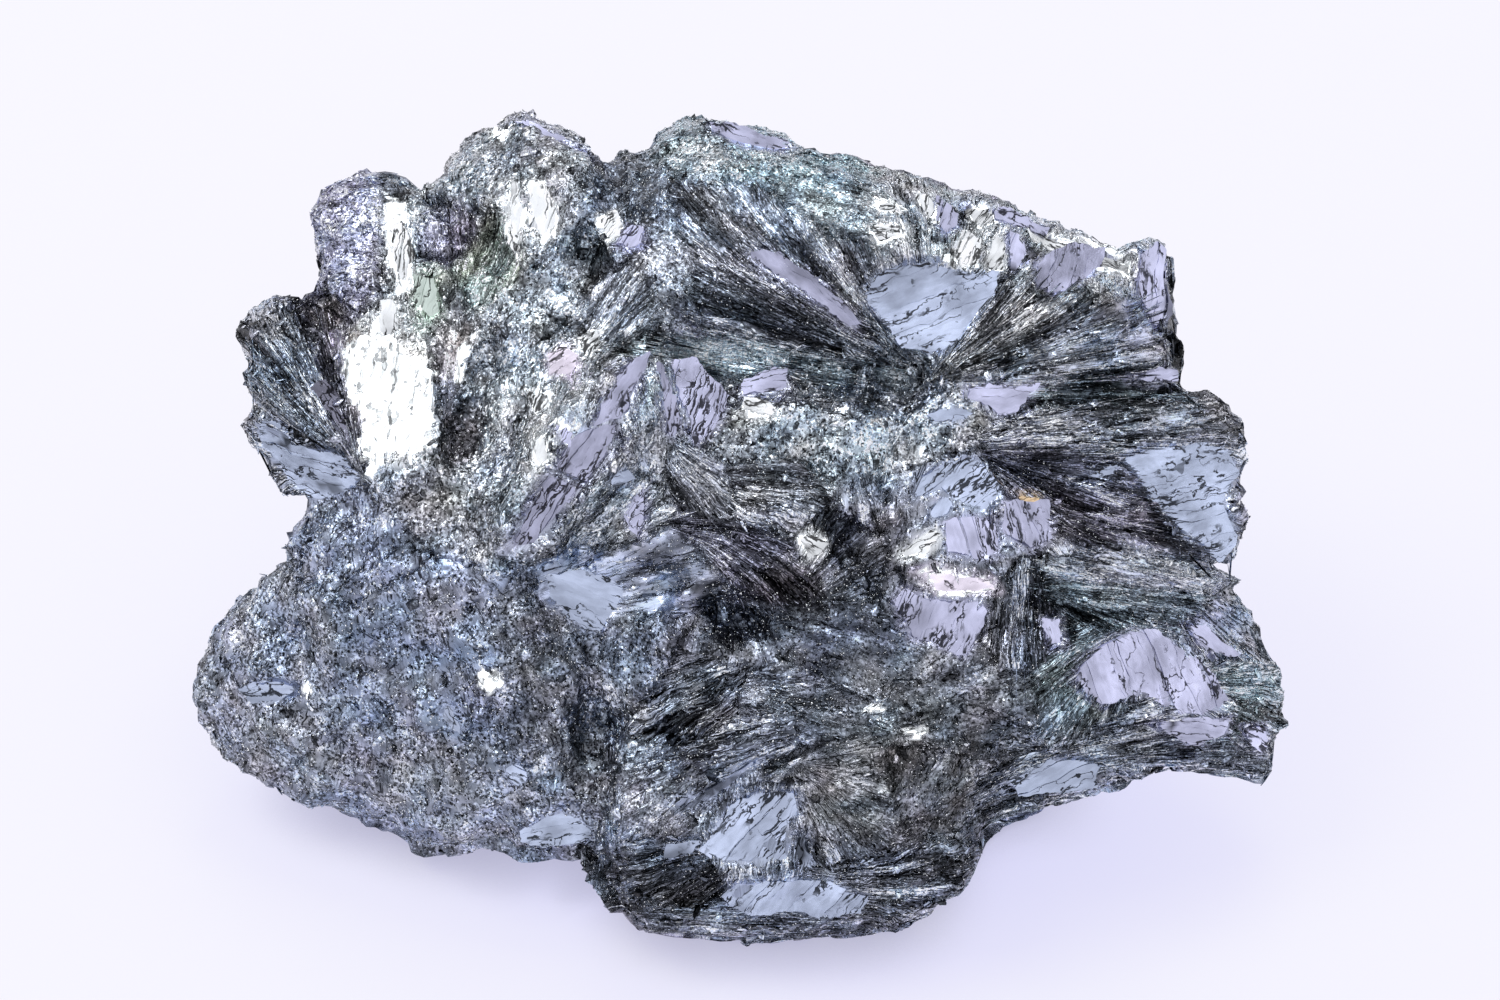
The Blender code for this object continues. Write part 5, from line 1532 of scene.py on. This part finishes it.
# flakes: name, count, wish, width, thickness, lean, share turned to a lamp, brighter by, spread of shades
# sparkles: name, count, wish, width
flake_pieces += [
    flakes("flakes", 3600, flake_wish * (0.3 + shattered), (0.16, 0.60), 0.05, 0.5, 0.0, 1.15, 0.5),
    sparkles("sparkles", 18000, spark_wish, (0.09, 0.36)),
    sparkles("fine_sparkles", 18000, spark_wish * (0.4 + mat_wish), (0.08, 0.22)),
    flakes("chips", 1000, chip_wish * (0.2 + shattered), (0.6, 2.2), 0.10, 0.16, 0.15, 1.5, 0.75),
]

# %% [markdown]
# ## The metal
# Hematite shines like a metal, so every finish is a fully metallic Principled shader whose base
# colour is the tone attribute. What differs is how the surface is broken up: the shader tilts
# the normal a little from cell to cell, so each cell mirrors another part of the room.

# %% A short way to write shader nodes
class Graph:
    """The nodes of a material or of the world, with one short call for each kind used here."""

    def __init__(self, tree):
        self.nodes, self.links = tree.nodes, tree.links

    def put(self, socket, value):
        """Link a socket to another node, or set it to a plain value."""
        if hasattr(value, "is_output"):
            self.links.new(value, socket)
        elif value is not None:
            socket.default_value = value

    def node(self, kind, *values, **settings):
        made = self.nodes.new("ShaderNode" + kind)
        for name, setting in settings.items():
            setattr(made, name, setting)
        for socket, value in zip(made.inputs, values):
            self.put(socket, value)
        return made

    def attribute(self, name):
        return self.node("Attribute", attribute_name=name)

    def math(self, kind, *values):
        return self.node("Math", *values, operation=kind).outputs[0]

    def times(self, first, *others):
        for other in others:
            first = self.math("MULTIPLY", first, other)
        return first

    def vector(self, kind, a, b=None):
        return self.node("VectorMath", a, b, operation=kind).outputs[1 if kind == "DOT_PRODUCT" else 0]

    def scaled(self, vector, scale):
        return self.node("VectorMath", vector, None, None, scale, operation="SCALE").outputs[0]

    def ramp(self, value, start, end, first, last):
        """From the first number to the last, as the value goes from start to end."""
        numbers = (value, start, end, first, last)
        return self.node("MapRange", *numbers, interpolation_type="SMOOTHSTEP").outputs[0]

    def noise(self, at, stretch, detail):
        made = self.node("TexNoise")
        made.inputs["Detail"].default_value = detail
        return self.pattern(made, at, stretch)

    def cells(self, at, stretch, feature="F1"):
        return self.pattern(self.node("TexVoronoi", feature=feature), at, stretch)

    def pattern(self, made, at, stretch):
        """A pattern node whose marks are one unit wide, on a stretched place."""
        made.inputs["Scale"].default_value = 1.0
        stretch = stretch if isinstance(stretch, tuple) else (stretch,) * 3
        self.put(made.inputs["Vector"], self.vector("MULTIPLY", at, stretch))
        return made

    def centred(self, made, amount):
        """The colour of a pattern as a vector round zero."""
        return self.scaled(self.vector("SUBTRACT", made.outputs["Color"], (0.5, 0.5, 0.5)), amount)

    def shares(self, made):
        """The colour of a pattern as three random shares."""
        return self.node("SeparateColor", made.outputs["Color"]).outputs

    def blend(self, share, a, b):
        made = self.node("Mix", share, data_type="FLOAT")
        self.put(made.inputs[2], a)
        self.put(made.inputs[3], b)
        return made.outputs[0]

    def blend_vectors(self, share, a, b):
        made = self.node("Mix", share, data_type="VECTOR")
        self.put(made.inputs[4], a)
        self.put(made.inputs[5], b)
        return made.outputs[1]

    def bump(self, height, strength, distance):
        made = self.node("Bump")
        for name, value in (("Strength", strength), ("Distance", distance), ("Height", height)):
            self.put(made.inputs[name], value)
        return made.outputs[0]

    def place(self):
        return self.node("TexCoord").outputs["Object"]


def new_metal(name, roughness):
    metal = bpy.data.materials.new(name)
    metal.use_nodes = True
    shader = metal.node_tree.nodes["Principled BSDF"]
    shader.inputs["Metallic"].default_value = 1.0
    shader.inputs["Roughness"].default_value = roughness
    return metal, Graph(metal.node_tree), shader


BUMP_HEIGHT = 0.14 * MM
WHITEST = (0.95, 0.96, 0.97)
print("shader helpers ready")

# %% [markdown]
# ### Stone body
# Two patterns are mixed by the grain attribute. Pages are cells stretched along the page, each
# turned a little about it, crossed by dark hairlines, with painted shade in the gaps between
# cells and rare painted glints. Grains are small cells turned any way, with a rare one that is
# black and a rare one whose tone is painted bright as a glint. Each comes in a calm and a
# shattered kind, which the shatter attribute mixes.

# %% Cracks of a mirror
CRACK_LEVEL = 0.5


def mirror_cracks(g, page, crowding):
    """Dark lines that run mostly along the page, where a stretched noise crosses its middle."""
    def contour(stretch, width):
        level = g.noise(page, stretch, 3.0).outputs[0]
        away = g.math("ABSOLUTE", g.math("SUBTRACT", level, CRACK_LEVEL))
        return g.ramp(away, width * 0.4, width, 1.0, 0.0)

    crowd = g.noise(page, (0.16, 0.3, 1.0), 2.0).outputs[0]
    where = g.ramp(g.math("ADD", crowd, crowding), 0.52, 0.62, 0.0, 1.0)
    sparse = g.ramp(crowd, 0.40, 0.52, 0.0, 1.0)
    fine = g.times(contour((0.13, 1.2, 1.0), 0.044), where)
    long = g.times(contour((0.06, 0.40, 1.0), 0.018), sparse)
    return g.math("MAXIMUM", fine, long)


def darkened(g, cracks, amount):
    """The light that is left where there are cracks."""
    return g.math("MULTIPLY_ADD", cracks, -amount, 1.0)


# %% Pages and grains
# Marks in a millimetre along and across the page, or in a millimetre of grain
LEAF, STRIP, HAIR, SPARK = (0.08, 0.75, 1.0), (0.18, 2.8, 1.0), (0.22, 5.6, 1.0), (2.0, 6.0, 1.0)
PATCH, TWIST, SHARD, DUST, CRUMB, GRIT = 0.5, 0.9, 1.5, 2.4, 4.6, 5.0


def page_pattern(g, at, bent, lay, shatter):
    """Tilt, light, glint and height of paged stone, and its leaves, strips and hairlines."""
    leaf = g.cells(bent, LEAF)
    leaf_edge = g.cells(bent, LEAF, "DISTANCE_TO_EDGE").outputs["Distance"]
    strip = g.cells(bent, STRIP)
    hair = g.noise(bent, HAIR, 3.0).outputs[0]
    spark = g.noise(bent, SPARK, 1.0).outputs[0]
    leaf_share, strip_share = g.shares(leaf), g.shares(strip)
    crumb = g.ramp(g.noise(at, CRUMB, 1.0).outputs[0], 0.38, 0.62, 0.55, 1.4)
    # Painted shade: the edges between leaves are darkened in tone, and they also sink in the bump.
    gap_shade_and_depth = g.ramp(leaf_edge, 0.01, 0.07, 0.08, 1.0)
    deep_light = g.times(
        gap_shade_and_depth, crumb, g.ramp(leaf_share[1], 0.1, 0.9, 0.6, 1.35),
        g.ramp(strip_share[1], 0.0, 0.9, 0.15, 1.6), g.ramp(hair, 0.38, 0.60, 0.06, 2.0))
    silky_light = g.times(
        crumb, g.ramp(strip_share[1], 0.0, 0.9, 0.6, 1.25), g.ramp(hair, 0.36, 0.62, 0.5, 1.45))
    leaf_turn = g.times(g.math("SUBTRACT", leaf_share[0], 0.5), 0.55)
    strip_turn = g.times(g.math("SUBTRACT", strip_share[0], 0.5), 0.8)
    turn = g.math("ADD", leaf_turn, strip_turn)
    tilt = g.vector("ADD", g.scaled(lay, turn), g.centred(strip, 0.12))
    light = g.blend(shatter, silky_light, deep_light)
    # Painted glints: rare specks whose tone is raised up to 2.4 times.
    glint = g.ramp(spark, 0.58, 0.66, 0.0, 2.4)
    height = g.math("MULTIPLY_ADD", gap_shade_and_depth, 0.8, hair)
    return (tilt, light, glint, height), leaf_share, strip_share, hair


def grain_pattern(g, at, shatter):
    """Tilt, light, glint and height of grainy stone, and its shards."""
    twist = g.centred(g.noise(at, TWIST, 3.0), 2.2)
    rough_at = g.vector("ADD", at, twist)
    patch, shard, grit = g.cells(rough_at, PATCH), g.cells(rough_at, SHARD), g.cells(at, GRIT)
    patch_share, shard_share, grit_share = g.shares(patch), g.shares(shard), g.shares(grit)
    dust = g.noise(at, DUST, 4.0).outputs[0]
    pit = g.ramp(grit_share[2], 0.10, 0.14, 0.10, 1.0)
    calm_light = g.times(g.ramp(patch_share[0], 0.1, 0.9, 0.75, 1.25), g.ramp(dust, 0.36, 0.64, 0.16, 1.9))
    wild_light = g.times(
        g.ramp(patch_share[0], 0.1, 0.9, 0.5, 1.3), g.ramp(shard_share[0], 0.1, 0.9, 0.35, 1.6),
        g.ramp(dust, 0.36, 0.64, 0.6, 1.4))
    calm_tilt = g.vector("ADD", g.centred(shard, 0.22), g.centred(grit, 0.55))
    wild_tilt = g.vector("ADD", g.centred(patch, 0.7), g.centred(shard, 0.8))
    tilt = g.blend_vectors(shatter, calm_tilt, wild_tilt)
    light = g.times(pit, g.blend(shatter, calm_light, wild_light))
    # Painted glints: a rare grain whose tone is raised up to 2 times.
    glint = g.ramp(grit_share[1], 0.95, 0.97, 0.0, 2.0)
    return (tilt, light, glint, dust), shard


def mixed_patterns(g, share, first, second):
    """Tilt, light, glint and height between two patterns."""
    tilt = g.blend_vectors(share, first[0], second[0])
    return (tilt, *(g.blend(share, a, b) for a, b in zip(first[1:], second[1:])))


# %% Body metal
def body_metal():
    metal, g, shader = new_metal("hematite_pages_and_grains", 0.27)
    page, lay, tone_in, grain_in, sheen_in, shatter_in, glint_in = (
        g.attribute(name) for name in ("page", "lay", "tone", "grain", "sheen", "shatter", "glint"))
    shatter, is_white = shatter_in.outputs["Fac"], glint_in.outputs["Fac"]
    at = g.scaled(g.place(), 1.0 / MM)
    wander = g.centred(g.noise(at, 0.3, 2.0), 1.0)
    bent = g.vector("ADD", page.outputs["Vector"], g.vector("MULTIPLY", wander, (3.0, 1.3, 0.0)))
    pages, leaf_share, strip_share, hair = page_pattern(g, at, bent, lay.outputs["Vector"], shatter)
    grains, shard = grain_pattern(g, at, shatter)

    # Grains replace pages, with a dusty border.
    grainy = g.math("ADD", grain_in.outputs["Fac"], g.math("MULTIPLY_ADD", grains[3], 0.8, -0.4))
    share = g.ramp(grainy, 0.35, 0.65, 0.0, 1.0)
    stone = mixed_patterns(g, share, pages, grains)

    # Silky streaks and the skin round the plates lie flat, with cracks.
    streak = g.noise(bent, (0.22, 1.5, 1.0), 4.0).outputs[0]
    blotch = g.noise(at, 0.8, 4.0).outputs[0]
    silky = g.math("MULTIPLY_ADD", g.blend(share, streak, blotch), 1.6,
                   g.math("SUBTRACT", sheen_in.outputs["Fac"], 0.8))
    flat = g.ramp(silky, 0.44, 0.56, 0.0, 1.0)
    crack = mirror_cracks(g, bent, -0.04)
    flat_light = g.times(darkened(g, crack, 0.9), g.ramp(hair, 0.3, 0.7, 0.8, 1.15))
    mirror = ((0.0, 0.0, 0.0), flat_light, 0.0, g.math("MULTIPLY_ADD", crack, -0.6, 0.7))
    tilt, light, glint, height = mixed_patterns(g, flat, stone, mirror)

    # Glints are turned halfway to the key lamp, and their tone stays painted near white, a painted highlight.
    own_way = g.vector("ADD", g.bump(height, 0.8, BUMP_HEIGHT), tilt)
    to_lamp = g.vector("ADD", g.centred(shard, 0.29), tuple(unit(OUTWARD + KEY_WAY)))
    white_light = g.times(
        g.ramp(strip_share[2], 0.10, 0.16, 0.40, 1.0), g.ramp(leaf_share[2], 0.2, 0.26, 0.72, 1.0),
        darkened(g, crack, 0.6))
    light = g.blend(is_white, light, white_light)
    way = g.blend_vectors(is_white, own_way, to_lamp)
    g.put(shader.inputs["Normal"], g.vector("NORMALIZE", way))
    # The painted glints are added to the tone.
    tone_out = tone_in.outputs["Color"]
    tone_with_painted_glints = g.vector("ADD", g.scaled(tone_out, light), g.scaled(tone_out, glint))
    g.put(shader.inputs["Base Color"], g.vector("MINIMUM", tone_with_painted_glints, WHITEST))
    return metal


body.data.materials.append(body_metal())
print("the body metal has", len(body.data.materials[0].node_tree.nodes), "nodes")

# %% [markdown]
# ### Mirror plates
# A real page mirrors the room, but a little unevenly. A plain smooth metal would look like a
# piece of foil, so the plate gets a faint ripple, and dark cracks that run mostly one way and
# crowd together towards its rim, which the inset attribute tells.

# %% Plate metal
def plate_metal():
    metal, g, shader = new_metal("hematite_mirror", 0.25)
    page, tone_in, inset = (g.attribute(name) for name in ("page", "tone", "inset"))
    at = g.scaled(g.place(), 1.0 / MM)
    bent = g.vector("ADD", page.outputs["Vector"], g.centred(g.noise(at, 0.35, 5.0), 1.9))
    cracks = mirror_cracks(g, bent, g.ramp(inset.outputs["Fac"], 0.0, 1.4, 0.07, -0.07))
    ripple = g.noise(bent, (0.4, 1.5, 1.0), 4.0).outputs[0]
    height = g.math("SUBTRACT", g.times(ripple, 0.5), cracks)
    way = g.vector("ADD", g.bump(height, 0.5, BUMP_HEIGHT), tuple(0.9 * OUTWARD))
    g.put(shader.inputs["Normal"], g.vector("NORMALIZE", way))
    broad = g.noise(at, 0.22, 3.0).outputs[0]
    cast = g.times(g.ramp(ripple, 0.3, 0.7, 0.88, 1.1), g.ramp(broad, 0.32, 0.62, 0.74, 1.12))
    kept = g.times(cast, darkened(g, cracks, 0.92))
    g.put(shader.inputs["Base Color"], g.scaled(tone_in.outputs["Color"], kept))
    return metal


plates.data.materials.append(plate_metal())
print("the mirror metal has", len(plates.data.materials[0].node_tree.nodes), "nodes")

# %% [markdown]
# ### Page edges and flakes
# These are real geometry already, so they need no pattern of their own. Their metal only lets
# the light waver over a fraction of a millimetre, since no crystal is perfectly clean.

# %% Edge and flake metals
SMALL_BUMP = 0.08 * MM


def small_metal(name, roughness, size, least, most):
    """Fine metal whose light wavers between the least and the most, in marks of 1 / size metres."""
    metal, g, shader = new_metal(name, roughness)
    speck = g.noise(g.place(), size, 2.0).outputs[0]
    g.put(shader.inputs["Normal"], g.bump(speck, 0.5, SMALL_BUMP))
    wavering = g.ramp(speck, 0.36, 0.64, least, most)
    g.put(shader.inputs["Base Color"], g.scaled(g.attribute("tone").outputs["Color"], wavering))
    return metal


edge_metal = small_metal("hematite_page_edges", 0.28, 4200.0, 0.3, 1.7)
flake_metal = small_metal("hematite_flakes", 0.24, 3600.0, 0.5, 1.45)
for pieces, small in ((edge_pieces, edge_metal), (flake_pieces, flake_metal)):
    for piece in pieces:
        piece.data.materials.append(small)
print(len(edge_pieces), "pieces of page edges and", len(flake_pieces), "of flakes have their metal")

# %% [markdown]
# ## Floor, light and camera
# The floor is one pale sheet of paper. Lit from above alone it would turn grey round the stone,
# so it also glows a little. The glow fades where the stone stands close, which leaves the thin
# dark line under it that shows it stands on something.

# %% Floor
PAPER = (0.215, 0.21, 0.06, 1.0)
PAPER_GLOW = (0.648, 0.643, 0.92)
FLOOR_HALF = 2.5
CONTACT_REACH = 8.0 * MM


def make_floor():
    bm = bmesh.new()
    bmesh.ops.create_grid(bm, x_segments=1, y_segments=1, size=FLOOR_HALF)
    floor = bpy.data.objects.new("floor", mesh_of(bm, "floor"))
    bpy.context.scene.collection.objects.link(floor)
    paper = bpy.data.materials.new("pale_paper")
    paper.use_nodes = True
    g = Graph(paper.node_tree)
    shader = paper.node_tree.nodes["Principled BSDF"]
    crevice = g.node("AmbientOcclusion", samples=6)
    crevice.inputs["Distance"].default_value = CONTACT_REACH
    glow = g.ramp(crevice.outputs["AO"], 0.0, 0.8, 0.62, 1.0)
    for name, value in (
        ("Base Color", PAPER), ("Roughness", 0.9), ("Specular IOR Level", 0.1),
        ("Emission Color", g.scaled(PAPER_GLOW, glow)), ("Emission Strength", 1.0),
    ):
        g.put(shader.inputs[name], value)
    floor.data.materials.append(paper)
    floor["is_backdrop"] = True


make_floor()
print("the floor is", 2 * FLOOR_HALF, "m wide")

# %% [markdown]
# ### Light
# Polished metal shows little of its own, it shows the room. Two soft boxes hang above, one up
# to the left and one behind, and give the flashes. The room around is bright overhead and dim
# low down, with soft bright and dark panels that only the metal sees, for contrast. Straight
# ahead of the face it is evenly bright, so the mirror plates stay light.

# %% Soft boxes
LAMP_TINT = (0.94, 0.97, 1.0)
LAMP_DISTANCE = 0.9
STONE_MIDDLE = Vector((0.0, 0.0, 0.035))


def soft_box(name, way, size, power):
    lamp = bpy.data.lights.new(name, "AREA")
    lamp.shape = "SQUARE"
    lamp.size = size
    lamp.energy = power
    lamp.color = LAMP_TINT
    box = bpy.data.objects.new(name, lamp)
    box.location = STONE_MIDDLE + Vector(way) * LAMP_DISTANCE
    box.rotation_euler = Vector(way).to_track_quat("Z", "Y").to_euler()
    bpy.context.scene.collection.objects.link(box)


soft_box("key_box", KEY_WAY, 0.42, 2.4)
soft_box("back_box", BACK_WAY, 0.40, 2.0)
print("two soft boxes,", LAMP_DISTANCE, "m from the stone")

# %% Room
PANEL_DARK, PANEL_BRIGHT = 0.10, 1.25
PANEL_SIZE = 2.6
ROOM_TINT = (0.98, 0.98, 1.03)
BACKDROP = (0.93, 0.925, 0.99, 1.0)


def make_room():
    world = bpy.data.worlds.new("room")
    world.use_nodes = True
    g = Graph(world.node_tree)
    way = g.node("TexCoord").outputs["Generated"]
    upward = g.node("SeparateXYZ", way).outputs["Z"]
    plain = g.ramp(upward, 0.0, 0.62, 0.50, 1.02)
    patchy = g.ramp(g.noise(way, PANEL_SIZE, 1.0).outputs[0], 0.43, 0.57, PANEL_DARK, PANEL_BRIGHT)
    ahead = g.vector("DOT_PRODUCT", way, tuple(OUTWARD))
    mirrored = g.blend(g.ramp(ahead, 0.72, 0.94, 0.0, 1.0), patchy, 1.0)
    rays = g.node("LightPath")
    light = g.blend(rays.outputs["Is Glossy Ray"], plain, mirrored)
    seen_colour = g.node("Mix", rays.outputs["Is Camera Ray"], data_type="RGBA")
    g.put(seen_colour.inputs[6], g.scaled(ROOM_TINT, light))
    g.put(seen_colour.inputs[7], BACKDROP)
    g.put(g.nodes["Background"].inputs["Color"], seen_colour.outputs[2])
    bpy.context.scene.world = world


make_room()
bpy.context.scene.view_settings.view_transform = "Standard"
print("the room is up to", round(PANEL_BRIGHT / PANEL_DARK, 1), "times brighter in one panel than in another")

# %% [markdown]
# ### Camera
# A wide lens close by would bend the stone, with its middle too large. A long lens from half a
# metre away shows it as it is in the hand, looking square at the leaning face.

# %% Camera
FOCAL_LENGTH, SENSOR_WIDTH = 110.0, 36.0


def make_camera():
    lens = bpy.data.cameras.new("camera")
    lens.lens = FOCAL_LENGTH
    lens.sensor_width = SENSOR_WIDTH
    lens.clip_start = 10.0 * MM
    camera = bpy.data.objects.new("camera", lens)
    camera.location = Vector(from_face([*AIM, DISTANCE]))
    camera.rotation_euler = Vector(-OUTWARD).to_track_quat("-Z", "Y").to_euler()
    bpy.context.scene.collection.objects.link(camera)
    bpy.context.scene.camera = camera


make_camera()
print("camera looks down by", round(math.degrees(LEAN)), "degrees")

# %% Size and finish
low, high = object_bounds()
